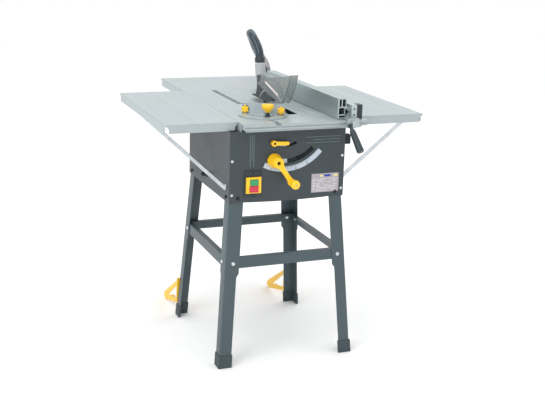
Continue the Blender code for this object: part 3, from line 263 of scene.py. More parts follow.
def build_finishes():
    along_y = (1.0, 0.02, 1.0)
    along_z = (1.0, 1.0, 0.03)
    return {
        "table_metal": finish("table_metal", (0.39, 0.445, 0.46), 0.36, 0.25, (4.0, 0.035), (1500.0, 0.08, 0.0002),
                              along_y, 0.22),
        # housing_paint, stand_paint and cast_metal get a painted highlight that lightens their sharp edges.
        "housing_paint": finish("housing_paint", (0.034, 0.048, 0.056), 0.46, 0.0, (5.0, 0.10), (1300.0, 0.35,
            0.0003),
                                edge_highlight=0.35),
        "stand_paint": finish("stand_paint", (0.052, 0.080, 0.092), 0.42, 0.0, (5.0, 0.09), (1300.0, 0.30, 0.0003),
                              edge_highlight=0.35),
        "yellow_paint": finish("yellow_paint", (0.90, 0.52, 0.010), 0.38, 0.0, (9.0, 0.08), (1100.0, 0.20, 0.0002)),
        "zinc": finish("zinc", (0.60, 0.65, 0.68), 0.30, 0.9, (40.0, 0.12), (800.0, 0.10, 0.0002), streak=0.3),
        "black_steel": finish("black_steel", (0.016, 0.020, 0.024), 0.42, 0.5, (20.0, 0.2), (1000.0, 0.2, 0.0002)),
        "rubber": finish("rubber", (0.040, 0.058, 0.066), 0.66, 0.0, (12.0, 0.12), (700.0, 0.45, 0.0003)),
        "yellow_plastic": finish("yellow_plastic", (0.95, 0.56, 0.010), 0.34, 0.0, (14.0, 0.05), (900.0, 0.12,
            0.0002),
                                 coat=0.2),
        "black_plastic": finish("black_plastic", (0.018, 0.033, 0.038), 0.44, 0.0, (14.0, 0.12), (900.0, 0.35,
            0.0003)),
        "green_plastic": finish("green_plastic", (0.030, 0.30, 0.12), 0.32, 0.0, (30.0, 0.06), (900.0, 0.1, 0.0002)),
        "red_plastic": finish("red_plastic", (0.60, 0.03, 0.07), 0.32, 0.0, (30.0, 0.06), (900.0, 0.1, 0.0002)),
        "scale_plate": finish("scale_plate", (0.50, 0.58, 0.66), 0.42, 0.2, (18.0, 0.05), (900.0, 0.08, 0.0001)),
        "aluminium": finish("aluminium", (0.42, 0.50, 0.50), 0.34, 0.75, (8.0, 0.05), (600.0, 0.12, 0.0002),
            along_y, 0.35),
        "cast_metal": finish("cast_metal", (0.46, 0.53, 0.55), 0.40, 0.7, (25.0, 0.10), (500.0, 0.30, 0.0003),
            edge_highlight=0.2),
        "motor_metal": finish("motor_metal", (0.05, 0.06, 0.065), 0.5, 0.4, (20.0, 0.15), (500.0, 0.30, 0.0003)),
        "blade_steel": finish("blade_steel", (0.34, 0.36, 0.37), 0.28, 1.0, (30.0, 0.05), (500.0, 0.10, 0.0001),
                              along_z, 0.25),
        "smoked_plastic": smoked_finish("smoked_plastic", (0.30, 0.34, 0.33), 0.42),
        "hose_rubber": hose_finish("hose_rubber"),
    }


def build_extra_finishes():
    """Small trims that have no slot of their own, each with the record's slot it belongs to."""
    return {
        "ink": (finish("ink", (0.02, 0.03, 0.05), 0.5), "scale_plate"),
        "pale_line": (finish("pale_line", (0.20, 0.27, 0.30), 0.45), "housing_paint"),
        "label_grey": (finish("label_grey", (0.40, 0.37, 0.40), 0.45, 0.1, (60.0, 0.10)), "scale_plate"),
        "label_line": (finish("label_line", (0.75, 0.74, 0.76), 0.5), "scale_plate"),
        "label_blue": (finish("label_blue", (0.02, 0.06, 0.35), 0.4), "scale_plate"),
        "label_yellow": (finish("label_yellow", (0.80, 0.70, 0.25), 0.4), "scale_plate"),
        "dark_edge": (finish("dark_edge", (0.03, 0.045, 0.05), 0.3), "smoked_plastic"),
        "clear_rib": (smoked_finish("clear_rib", (0.20, 0.23, 0.22), 0.65), "smoked_plastic"),
        "clear_pipe": (smoked_finish("clear_pipe", (0.50, 0.54, 0.54), 0.80), "smoked_plastic"),
        "guard_label": (finish("guard_label", (0.85, 0.78, 0.74), 0.5), "smoked_plastic"),
        "carbide": (finish("carbide", (0.30, 0.31, 0.32), 0.28, 0.9), "blade_steel"),
    }


# ---------------------------------------------------------------- mesh helpers

def finished(bm):
    bmesh.ops.recalc_face_normals(bm, faces=bm.faces)
    mesh = bpy.data.meshes.new("shape")
    bm.to_mesh(mesh)
    bm.free()
    return mesh


def loft(rings):
    """A closed solid through rings of points that all have the same count."""
    bm = bmesh.new()
    loops = [[bm.verts.new(point) for point in ring] for ring in rings]
    count = len(loops[0])
    for low, high in zip(loops, loops[1:]):
        for i in range(count):
            j = (i + 1) % count
            bm.faces.new((low[i], low[j], high[j], high[i]))
    bm.faces.new(loops[0])
    bm.faces.new(loops[-1])
    return finished(bm)


def plate(outline, axis, near, far):
    """A flat outline extruded along an axis from near to far."""
    at = AXES[axis]
    return loft([[at(u, v, near) for u, v in outline], [at(u, v, far) for u, v in outline]])


def block(x0, x1, y0, y1, z0, z1):
    return plate([(x0, y0), (x1, y0), (x1, y1), (x0, y1)], "z", z0, z1)


def turned(profile, start, direction, sides=32):
    """A profile of (radius, height) points, first and last on the axis, turned about direction from start."""
    bm = bmesh.new()
    turn = Vector(direction).to_track_quat("Z", "Y").to_matrix()
    rings = []
    for radius, height in profile:
        count = sides if radius else 1
        ring = []
        for i in range(count):
            angle = 2 * math.pi * (i + 0.5) / sides
            local = Vector((radius * math.cos(angle), radius * math.sin(angle), height))
            ring.append(bm.verts.new(Vector(start) + turn @ local))
        rings.append(ring)
    for low, high in zip(rings, rings[1:]):
        for i in range(sides):
            j = (i + 1) % sides
            corners = [low[i % len(low)], low[j % len(low)], high[j % len(high)], high[i % len(high)]]
            bm.faces.new(list(dict.fromkeys(corners)))
    return finished(bm)


def rod(start, end, radius, sides=24):
    run = Vector(end) - Vector(start)
    return turned([(0, 0), (radius, 0), (radius, run.length), (0, run.length)], start, run, sides)


def combined(operation, base, tools):
    """The mesh left by an exact Boolean of base with each tool in turn."""
    body = bpy.data.objects.new("body", base)
    bpy.context.scene.collection.objects.link(body)
    helpers = [body]
    for tool in tools:
        cutter = bpy.data.objects.new("cutter", tool)
        bpy.context.scene.collection.objects.link(cutter)
        modifier = body.modifiers.new("boolean", "BOOLEAN")
        modifier.operation = operation
        modifier.solver = "EXACT"
        modifier.object = cutter
        helpers.append(cutter)
    graph = bpy.context.evaluated_depsgraph_get()
    mesh = bpy.data.meshes.new_from_object(body.evaluated_get(graph))
    for helper in helpers:
        bpy.data.objects.remove(helper)
    return mesh


def cut(base, *tools):
    return combined("DIFFERENCE", base, tools)


def fuse(base, *tools):
    return combined("UNION", base, tools)


def joined(*meshes):
    """Separate closed bodies in one mesh, such as a row of ticks."""
    bm = bmesh.new()
    for mesh in meshes:
        bm.from_mesh(mesh)
    return finished(bm)


def moved(mesh, matrix):
    mesh.transform(matrix)
    return mesh


def arc(centre, radius, start, stop, steps):
    """Points on a circle; angles in degrees from straight down, positive towards +u."""
    points = []
    for i in range(steps + 1):
        angle = math.radians(start + (stop - start) * i / steps)
        points.append((centre[0] + radius * math.sin(angle), centre[1] - radius * math.cos(angle)))
    return points


def on_tilt(radius, angle):
    return arc(TILT, radius, angle, angle, 1)[0]


def rounded(corners, radius, steps=4):
    """A closed outline with its corners rounded; a radius may be one number or one for each corner."""
    radii = radius if isinstance(radius, (list, tuple)) else [radius] * len(corners)
    points = []
    for i, corner in enumerate(corners):
        here, before, after = Vector(corner), Vector(corners[i - 1]), Vector(corners[(i + 1) % len(corners)])
        back, ahead = (before - here), (after - here)
        reach = min(radii[i], back.length * 0.49, ahead.length * 0.49)
        start, stop = here + back.normalized() * reach, here + ahead.normalized() * reach
        if reach < 1e-6:
            points.append(tuple(here))
            continue
        for k in range(steps + 1):
            t = k / steps
            point = start * (1 - t) ** 2 + here * 2 * t * (1 - t) + stop * t ** 2
            points.append(tuple(point))
    return points


def rectangle(x0, x1, y0, y1, radius, steps=4):
    return rounded([(x0, y0), (x1, y0), (x1, y1), (x0, y1)], radius, steps)


# ---------------------------------------------------------------- pieces

def soften(obj, width, segments=2):
    bevel = obj.modifiers.new("soft_edges", "BEVEL")
    bevel.width = width
    bevel.segments = segments
    bevel.limit_method = "ANGLE"
    bevel.angle_limit = math.radians(32)
    bevel.harden_normals = True


def add(name, mesh, material, body="frame", nodes=(), edge=0.0, sharp=32, segments=2):
    """Links one piece that rides on a body; nodes are the CAD nodes that it stands for."""
    mesh.transform(Matrix.Translation(HOUSE))
    mesh.name = name
    mesh.shade_smooth()
    mesh.set_sharp_from_angle(angle=math.radians(sharp))
    look, slot = EXTRAS[material] if material in EXTRAS else (FINISHES[material], material)
    mesh.materials.clear()
    mesh.materials.append(look)
    obj = bpy.data.objects.new(name, mesh)
    bpy.context.scene.collection.objects.link(obj)
    if edge:
        soften(obj, edge, segments)
    if nodes:
        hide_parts(*nodes)
    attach(obj, body)
    return obj


def refine(node, edge=0.0006, material=None, segments=2, sharp=32):
    """A CAD node's own shape, cleaned of its triangles, with smooth round faces and softened edges."""
    bm = bmesh.new()
    bm.from_mesh(frame["nodes"][node].data)
    bmesh.ops.remove_doubles(bm, verts=bm.verts, dist=1e-6)
    bmesh.ops.dissolve_limit(bm, angle_limit=math.radians(1.0), verts=bm.verts, edges=bm.edges)
    mesh = finished(bm)
    for layer in [item.name for item in mesh.attributes if item.name == "custom_normal"]:
        mesh.attributes.remove(mesh.attributes[layer])
    mesh.transform(Matrix.Translation(-HOUSE))
    return add(node + "_shell", mesh, material or SLOT_OF[node], BODY_OF[node], (node,), edge, sharp, segments)


# ---------------------------------------------------------------- hose

HOSE_RADIUS = 0.0160
HOSE_ROUTE = [
    (0.0420, 0.1753, 0.9884), (0.0430, 0.1810, 1.0080), (0.0420, 0.1880, 1.0290), (0.0370, 0.1980, 1.0510),
    (0.0290, 0.2160, 1.0750), (0.0300, 0.2470, 1.0860), (0.0440, 0.2850, 1.0800), (0.0680, 0.3330, 1.0580),
    (0.1050, 0.4000, 1.0200), (0.1480, 0.4800, 0.9850), (0.1930, 0.5600, 0.9550), (0.2350, 0.6350, 0.9260),
    (0.2650, 0.6900, 0.8990), (0.2810, 0.7180, 0.8700), (0.2850, 0.7280, 0.8380), (0.2850, 0.7260, 0.8000),
    (0.2780, 0.7060, 0.7600), (0.2560, 0.6650, 0.7200), (0.2200, 0.6000, 0.6880), (0.1800, 0.5200, 0.6680),
    (0.1480, 0.4400, 0.6580), (0.1280, 0.3600, 0.6560), (0.1210, 0.3000, 0.6590), (0.1200, 0.2700, 0.6600),
    (0.1200, 0.2566, 0.6600),
]
RIB_PITCH = 0.0045
CUFF = 0.0300


def smooth_route(points, per_span):
    """Points on a Catmull-Rom curve through a route."""
    knots = [Vector(point) for point in points]
    knots = [knots[0] * 2 - knots[1]] + knots + [knots[-1] * 2 - knots[-2]]
    route = []
    for a, b, c, d in zip(knots, knots[1:], knots[2:], knots[3:]):
        for i in range(per_span):
            t = i / per_span
            route.append(0.5 * (2 * b + (c - a) * t + (2 * a - 5 * b + 4 * c - d) * t ** 2
                                + (3 * b - a - 3 * c + d) * t ** 3))
    return route + [knots[-2]]


def route_lengths(route):
    lengths = [0.0]
    for here, after in zip(route, route[1:]):
        lengths.append(lengths[-1] + (after - here).length)
    return lengths


def hose():
    """The ribbed extraction hose, with a smooth cuff at each end."""
    route = smooth_route(HOSE_ROUTE, 44)
    lengths = route_lengths(route)
    total = lengths[-1]
    bm = bmesh.new()
    side = Vector((1, 0, 0))
    rings = []
    sides = 28
    for i, (point, length) in enumerate(zip(route, lengths)):
        ahead = (route[min(i + 1, len(route) - 1)] - route[max(i - 1, 0)]).normalized()
        side = (side - ahead * side.dot(ahead)).normalized()
        across = ahead.cross(side)
        to_end = min(length, total - length)
        rib = 0.0004 * (0.5 - 0.5 * math.cos(2 * math.pi * length / RIB_PITCH))
        radius = HOSE_RADIUS - (rib if to_end > CUFF else 0.0)
        if abs(to_end - CUFF) < 0.0012:
            radius = HOSE_RADIUS - 0.0014
        ring = []
        for k in range(sides):
            angle = 2 * math.pi * k / sides
            ring.append(bm.verts.new(point + (side * math.cos(angle) + across * math.sin(angle)) * radius))
        rings.append(ring)
    for low, high in zip(rings, rings[1:]):
        for k in range(sides):
            j = (k + 1) % sides
            bm.faces.new((low[k], low[j], high[j], high[k]))
    bm.faces.new(rings[0])
    bm.faces.new(rings[-1])
    mesh = finished(bm)
    mesh.transform(Matrix.Translation(HOUSE))
    mesh.shade_smooth()
    mesh.set_sharp_from_angle(angle=math.radians(60))
    mesh.materials.append(FINISHES["hose_rubber"])
    obj = bpy.data.objects.new("extraction_hose", mesh)
    bpy.context.scene.collection.objects.link(obj)
    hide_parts("hose")
    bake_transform(obj, "tilt_unit", "frame", HOUSE + Vector((0, 0.20, 0.985)),
             HOUSE + Vector((0, 0.35, 0.80)))


# ---------------------------------------------------------------- tables

SHEET = 0.0018
FOLD = 0.0032
NOTCH_WIDTH, NOTCH_HEIGHT = 0.0120, 0.0220
GROOVE_X, GROOVE_WIDTH, GROOVE_DEPTH, GROOVE_END = -0.0570, 0.0190, 0.0095, 0.4180


def folded_box(x0, x1, y0, y1, z0, z1, fold):
    """A box whose top edges are rounded like a folded sheet."""
    rings = [[(x0, y0, z0), (x1, y0, z0), (x1, y1, z0), (x0, y1, z0)]]
    for i in range(6):
        angle = math.radians(18 * i)
        inset, z = fold * (1 - math.cos(angle)), z1 - fold + fold * math.sin(angle)
        rings.append([(x0 + inset, y0 + inset, z), (x1 - inset, y0 + inset, z), (x1 - inset, y1 - inset, z),
                      (x0 + inset, y1 - inset, z)])
    return loft(rings)


def pressed_line(x, y0, y1, width=0.0028, depth=0.0010):
    """A cutter for one shallow line pressed into a table top, fading out at both ends."""
    top = TABLE_TOP + 0.0003
    rings = []
    for y, share in ((y0 - 0.006, 0.05), (y0, 1.0), (y1, 1.0), (y1 + 0.006, 0.05)):
        rings.append([(x - width * share, y, top), (x, y, TABLE_TOP - depth * share), (x + width * share, y, top)])
    return loft(rings)


def tray(node):
    """A folded sheet table with open corner notches, in a CAD node's box."""
    low, high = saw_box(node)
    shell = folded_box(low.x, high.x, low.y, high.y, low.z, TABLE_TOP, FOLD)
    hollow = folded_box(low.x + SHEET, high.x - SHEET, low.y + SHEET, high.y - SHEET, low.z - 0.01, TABLE_TOP - SHEET,
                        FOLD - SHEET * 0.6)
    notches = []
    for x, side_x in ((low.x, 1), (high.x, -1)):
        for y, side_y in ((low.y, 1), (high.y, -1)):
            corner = [(x - side_x * 0.01, low.z - 0.01), (x + side_x * NOTCH_WIDTH, low.z - 0.01),
                      (x + side_x * NOTCH_WIDTH, low.z + NOTCH_HEIGHT * 0.55),
                      (x + side_x * NOTCH_WIDTH * 0.4, low.z + NOTCH_HEIGHT), (x - side_x * 0.01,
                          low.z + NOTCH_HEIGHT)]
            ends = sorted((y - side_y * 0.01, y + side_y * NOTCH_WIDTH))
            notches.append(plate(corner, "y", *ends))
    return cut(shell, hollow, *notches)


def lug(x, y, along_x):
    half_x, half_y = (0.010, 0.0015) if along_x else (0.0015, 0.010)
    return block(x - half_x, x + half_x, y - half_y, y + half_y, TABLE_TOP - 0.028, TABLE_TOP - SHEET / 2)


def tables():
    """Three side tables with groups of pressed lines, and the main table with its groove and opening."""
    left = [pressed_line(x, y0, y1) for x, y0, y1 in (
        (-0.3650, -0.130, 0.300), (-0.3450, -0.127, 0.290), (-0.3290, -0.127, 0.300), (-0.3110, -0.134, 0.314),
        (-0.2600, -0.138, 0.375), (-0.2380, -0.140, 0.380), (-0.2120, -0.120, 0.377), (-0.1970, -0.111, 0.377))]
    add("left_table", cut(fuse(tray("left_extension"), lug(-0.4120, 0.3340, False)), *left), "table_metal",
        nodes=("left_extension",), edge=0.0004)
    right = [pressed_line(x, -0.130, 0.360) for x in (0.300, 0.322, 0.344, 0.440, 0.462, 0.484)]
    dimple = turned([(0, -0.0010), (0.0030, -0.0010), (0.0060, 0.0004), (0, 0.0004)], (0.3553, 0.2819, TABLE_TOP),
                    (0, 0, 1), 20)
    add("right_table", cut(fuse(tray("right_extension"), lug(0.4500, -0.2000, True)), dimple, *right), "table_metal",
        nodes=("right_extension",), edge=0.0004)
    rear = [pressed_line(x, 0.500, 0.706) for x in (-0.150, -0.128, -0.102, -0.068, 0.150, 0.172, 0.194)]
    lugs = [lug(x, 0.6600, False) for x in (-0.1500, 0.1900)]
    add("rear_table", cut(fuse(tray("rear_extension"), *lugs), *rear), "table_metal", nodes=("rear_extension",),
        edge=0.0004)
    main_table()
    refine("table_insert", 0.0004)
    refine("fence_rail", 0.0008)


def main_table():
    channel_half = GROOVE_WIDTH / 2 + 0.003
    channel = block(GROOVE_X - channel_half, GROOVE_X + channel_half, -0.2495, GROOVE_END + 0.003,
                    TABLE_TOP - GROOVE_DEPTH - 0.0025, TABLE_TOP - SHEET / 2)
    posts = [block(x - 0.010, x + 0.010, y - 0.007, y + 0.007, 0.8198, TABLE_TOP - SHEET / 2)
             for x in (-0.150, 0.150) for y in (-0.216, 0.216)]
    groove = block(GROOVE_X - GROOVE_WIDTH / 2, GROOVE_X + GROOVE_WIDTH / 2, -0.27, GROOVE_END,
                   TABLE_TOP - GROOVE_DEPTH, TABLE_TOP + 0.01)
    insert_low, insert_high = saw_box("table_insert")
    opening = block(insert_low.x - GAP, insert_high.x + GAP, insert_low.y - GAP, insert_high.y + GAP,
                    TABLE_TOP - 0.0065, TABLE_TOP + 0.01)
    lines = [pressed_line(x, y0, y1) for x, y0, y1 in (
        (-0.1500, -0.120, 0.400), (-0.1300, -0.120, 0.400), (-0.1100, -0.120, 0.400), (-0.0900, -0.120, 0.400),
        (-0.0280, -0.120, 0.400), (-0.0080, -0.120, 0.400), (0.1180, -0.160, 0.400), (0.1380, -0.160, 0.400),
        (0.2250, -0.160, 0.400), (0.2450, -0.160, 0.400))]
    body = cut(fuse(tray("main_table"), channel, *posts), groove, opening, *lines)
    add("main_table_top", body, "table_metal", nodes=("main_table",), edge=0.0004)


# ---------------------------------------------------------------- stand

BRACE_Z, BRACE_HEIGHT = 0.3490, 0.0360
LEG_TOP, LEG_FOOT, LEG_BEND = (0.2070, 0.2242), (0.2480, 0.2670), 0.5745
LEG_SHEET = 0.0025
BOLT_ALONG_X, BOLT_ALONG_Y = 0.028, 0.036
NECK_BOLT_X, NECK_BOLT_Y, NECK_BOLT_Z = 0.1780, 0.1950, 0.5920
RIVET_X, RIVET_Z = 0.2000, (0.6040, 0.7200)
CORNERS = {"front_left": (-1, -1), "front_right": (1, -1), "rear_left": (-1, 1), "rear_right": (1, 1)}
SLOPE = [(foot - top) / LEG_BEND for top, foot in zip(LEG_TOP, LEG_FOOT)]


def leg_corner(z):
    """The outer corner of a leg at height z, in the quarter where x and y are positive."""
    drop = max(LEG_BEND - z, 0.0)
    return LEG_TOP[0] + SLOPE[0] * drop, LEG_TOP[1] + SLOPE[1] * drop


def leg_ring(side_x, side_y, z, flange):
    """An L section of folded sheet with a round outer corner."""
    cx, cy = leg_corner(z)
    t = LEG_SHEET
    corners = [(cx, cy), (cx - flange, cy), (cx - flange, cy - t), (cx - t, cy - t), (cx - t, cy - flange),
               (cx, cy - flange)]
    outline = rounded(corners, [0.0065, 0.0006, 0.0006, 0.0040, 0.0006, 0.0006], 5)
    return [(side_x * x, side_y * y, z) for x, y in outline]


def dome(point, axis, radius, height, washer=0.0):
    """A round bolt or rivet head on a face, with an optional washer below it."""
    base = 0.0012 if washer else 0.0
    profile = [(0, -0.0010)]
    if washer:
        profile += [(washer, -0.0010), (washer, base - 0.0003), (washer - 0.0004, base)]
    else:
        profile += [(radius * 0.9, -0.0010)]
    for i in range(6):
        angle = math.radians(15 + 15 * i)
        profile.append((radius * math.cos(angle - math.radians(15)), base + height * math.sin(angle)))
    profile[-1] = (radius * 0.25, base + height)
    profile.append((0, base + height))
    return turned(profile, point, axis, 20)


def hex_head(point, axis, across=0.0100, height=0.0045, washer=0.0065):
    """A hexagon head or nut on its washer."""
    radius = across / math.sqrt(3)
    ring = turned([(0, -0.0010), (washer, -0.0010), (washer, 0.0010), (0, 0.0010)], point, axis, 20)
    head = turned([(0, 0.0008), (radius, 0.0008), (radius, height - 0.0008), (radius * 0.88, height), (0, height)],
                  point, axis, 6)
    return joined(ring, head)


def brace_bolts():
    found = []
    z = BRACE_Z + BRACE_HEIGHT / 2
    cx, cy = leg_corner(z)
    for side_x, side_y in CORNERS.values():
        found.append((Vector((side_x * (cx - BOLT_ALONG_X), side_y * cy, z)), Vector((0, side_y,
            SLOPE[1])).normalized()))
        found.append((Vector((side_x * cx, side_y * (cy - BOLT_ALONG_Y), z)), Vector((side_x, 0,
            SLOPE[0])).normalized()))
    return found


def neck_bolts():
    found = []
    for side_x, side_y in CORNERS.values():
        found.append((Vector((side_x * NECK_BOLT_X, side_y * -FRONT_FACE, NECK_BOLT_Z)), Vector((0, side_y, 0))))
        found.append((Vector((side_x * HALF_WIDTH, side_y * NECK_BOLT_Y, NECK_BOLT_Z)), Vector((side_x, 0, 0))))
    return found


def stand():
    heights = [(0.0050, 0.042), (0.3160, 0.042), (0.3230, 0.0445), (0.3300, 0.050), (LEG_BEND, 0.050), (0.6200,
        0.050)]
    for name, (side_x, side_y) in CORNERS.items():
        leg = loft([leg_ring(side_x, side_y, z, flange) for z, flange in heights])
        add(name + "_leg_sheet", leg, "stand_paint", nodes=(name + "_leg",))
        refine(name + "_foot", 0.0016, segments=3)
    for name in ("front_brace", "rear_brace", "left_brace", "right_brace"):
        refine(name, 0.0007)
    for name in ("left_stabiliser", "right_stabiliser"):
        refine(name, 0.0009)
    add("brace_bolts", joined(*[dome(point, axis, 0.0062, 0.0034, 0.0070) for point, axis in brace_bolts()]), "zinc")
    inside = [hex_head(point - axis * 0.0050, -axis) for point, axis in brace_bolts()]
    add("brace_nuts", joined(*inside), "zinc")
    add("neck_bolts", joined(*[hex_head(point, axis) for point, axis in neck_bolts()]), "black_steel")


# ---------------------------------------------------------------- housing

def housing():
    for name in ("front_panel", "rear_panel", "left_panel", "right_panel"):
        refine(name, 0.0005)
    rivets = []
    for side_y in (-1, 1):
        for x in (-RIVET_X, RIVET_X):
            for z in RIVET_Z:
                rivets.append(dome(Vector((x, side_y * -FRONT_FACE, z)), Vector((0, side_y, 0)), 0.0050, 0.0024))
    add("panel_rivets", joined(*rivets), "zinc")
    refine("cord_gland", 0.0006)
    refine("side_bracket", 0.0007)
    refine("dust_port", 0.0008)
    screw = dome(Vector((HALF_WIDTH + 0.0060, -0.1870, 0.7730)), Vector((1, 0, 0)), 0.0048, 0.0022)
    add("side_bracket_screw", screw, "zinc")
    y = FRONT_FACE - 0.0003
    stripes = [plate(rectangle(x0, x1, z0, z0 + 0.0011, 0.0004, 2), "y", y - 0.0002, y + 0.0006)
               for x0, x1, z0 in ((0.0620, 0.1900, 0.7890), (0.0620, 0.1900, 0.7690), (0.0900, 0.1900, 0.7790))]
    stripes += [plate(rectangle(x0, x0 + 0.0011, z0, z1, 0.0004, 2), "y", y - 0.0002, y + 0.0006)
                for x0, z0, z1 in ((-0.1380, 0.6980, 0.8060), (-0.1250, 0.6980, 0.8060), (-0.1315, 0.7200, 0.8060))]
    add("front_pinstripes", joined(*stripes), "pale_line")
    side = []
    for y0, y1 in ((-0.150, 0.060), (-0.110, 0.100), (-0.070, 0.140)):
        ends = [(y0, 0.660), (y1, 0.800), (y1 + 0.0016, 0.800), (y0 + 0.0016, 0.660)]
        side.append(plate(ends, "x", -HALF_WIDTH - 0.0003, -HALF_WIDTH + 0.0006))
    add("side_pinstripes", joined(*side), "pale_line")


def rating_plate():
    """A plain grey plate with rows of short bars and three coloured blocks, and no words."""
    x0, x1, z0, z1 = 0.0880, 0.1900, 0.5940, 0.6600
    face = FRONT_FACE - 0.0006
    add("rating_plate", plate(rectangle(x0, x1, z0, z1, 0.002), "y", face, FRONT_FACE + 0.0003), "label_grey")
    dice = random.Random(7)
    bars = []
    for row in range(9):
        z = z0 + 0.0045 + row * 0.0052
        x = x0 + 0.004
        while x < x1 - 0.010:
            width = dice.uniform(0.004, 0.014)
            if dice.random() < 0.72:
                bars.append(block(x, min(x + width, x1 - 0.004), face - 0.0002, face + 0.0002, z, z + 0.0016))
            x += width + 0.0035
    add("rating_bars", joined(*bars), "label_line")
    add("rating_block_blue", block(x0 + 0.047, x0 + 0.071, face - 0.0002, face + 0.0002, z1 - 0.0120, z1 - 0.0040),
        "label_blue")
    yellow = [block(x0 + a, x0 + b, face - 0.0002, face + 0.0002, z1 - 0.0115, z1 - 0.0050)
              for a, b in ((0.032, 0.041), (0.084, 0.097))]
    add("rating_blocks_yellow", joined(*yellow), "label_yellow")


# ---------------------------------------------------------------- tilt scale

SCALE_RADIUS = 0.1660
SCALE_ZERO = -16.8


def numeral(text, centre, size):
    """A small number standing just proud of the scale, as a mesh in the front plane."""
    curve = bpy.data.curves.new("numeral", "FONT")
    curve.body = text
    curve.size = size
    curve.extrude = 0.00015
    curve.align_x = "CENTER"
    curve.align_y = "CENTER"
    obj = bpy.data.objects.new("numeral", curve)
    bpy.context.scene.collection.objects.link(obj)
    obj.matrix_world = Matrix.Translation(centre) @ Matrix.Rotation(math.radians(90), 4, "X")
    bpy.context.view_layer.update()
    mesh = bpy.data.meshes.new_from_object(obj.evaluated_get(bpy.context.evaluated_depsgraph_get()))
    mesh.transform(obj.matrix_world)
    bpy.data.objects.remove(obj)
    return mesh


def tilt_scale():
    """The arc-shaped plate with a tick for every degree and a number every fifteen."""
    refine("tilt_scale", 0.0002)
    face = FRONT_FACE - 0.0013
    ticks = []
    for degree in range(-5, 51):
        angle = SCALE_ZERO + degree
        length = 0.0080 if degree % 15 == 0 else 0.0055 if degree % 5 == 0 else 0.0032
        half = 0.00045 if degree % 5 == 0 else 0.00028
        inner = SCALE_RADIUS - 0.0080
        centre = on_tilt(inner + length / 2, angle)
        turn = Matrix.Translation((centre[0], 0, centre[1])) @ Matrix.Rotation(-math.radians(angle), 4, "Y")
        ticks.append(moved(block(-half, half, face, face + 0.0006, -length / 2, length / 2), turn))
    add("scale_ticks", joined(*ticks), "ink")
    numbers = []
    for degree in (0, 15, 30, 45):
        x, z = on_tilt(SCALE_RADIUS + 0.0045, SCALE_ZERO + degree)
        numbers.append(numeral(str(degree), (x, face + 0.0002, z), 0.0085))
    add("scale_numbers", joined(*numbers), "ink")


# ---------------------------------------------------------------- switch

def switch():
    plate_low, plate_high = saw_box("switch_plate")
    frame_high = saw_box("switch_frame")[1]
    refine("switch_plate", 0.0008)
    refine("switch_frame", 0.0010, segments=3)
    refine("start_button", 0.0012, segments=3)
    refine("stop_button", 0.0012, segments=3)
    y = plate_low.y
    screws = []
    for z in (plate_low.z + 0.0070, plate_high.z - 0.0090):
        screws.append(dome(Vector(((plate_low.x + plate_high.x) / 2, y, z)), Vector((0, -1, 0)), 0.0034, 0.0016))
    add("switch_screws", joined(*screws), "black_steel")
    rim = cut(plate(rectangle(plate_low.x + 0.003, plate_high.x - 0.003, frame_high.z + 0.0020,
                              plate_high.z - 0.0020, 0.004), "y",
                    y - 0.0016, y + 0.0004),
              plate(rectangle(plate_low.x + 0.0048, plate_high.x - 0.0048, frame_high.z + 0.0036,
                              plate_high.z - 0.0036, 0.003),
                    "y", y - 0.01, y + 0.01))
    add("switch_rim", rim, "black_plastic", edge=0.0004)


# ---------------------------------------------------------------- cranks and levers

CRANK = on_tilt(0.1400, -16.8)
KNOB = (CRANK[0] + 0.0490, CRANK[1] - 0.0690)


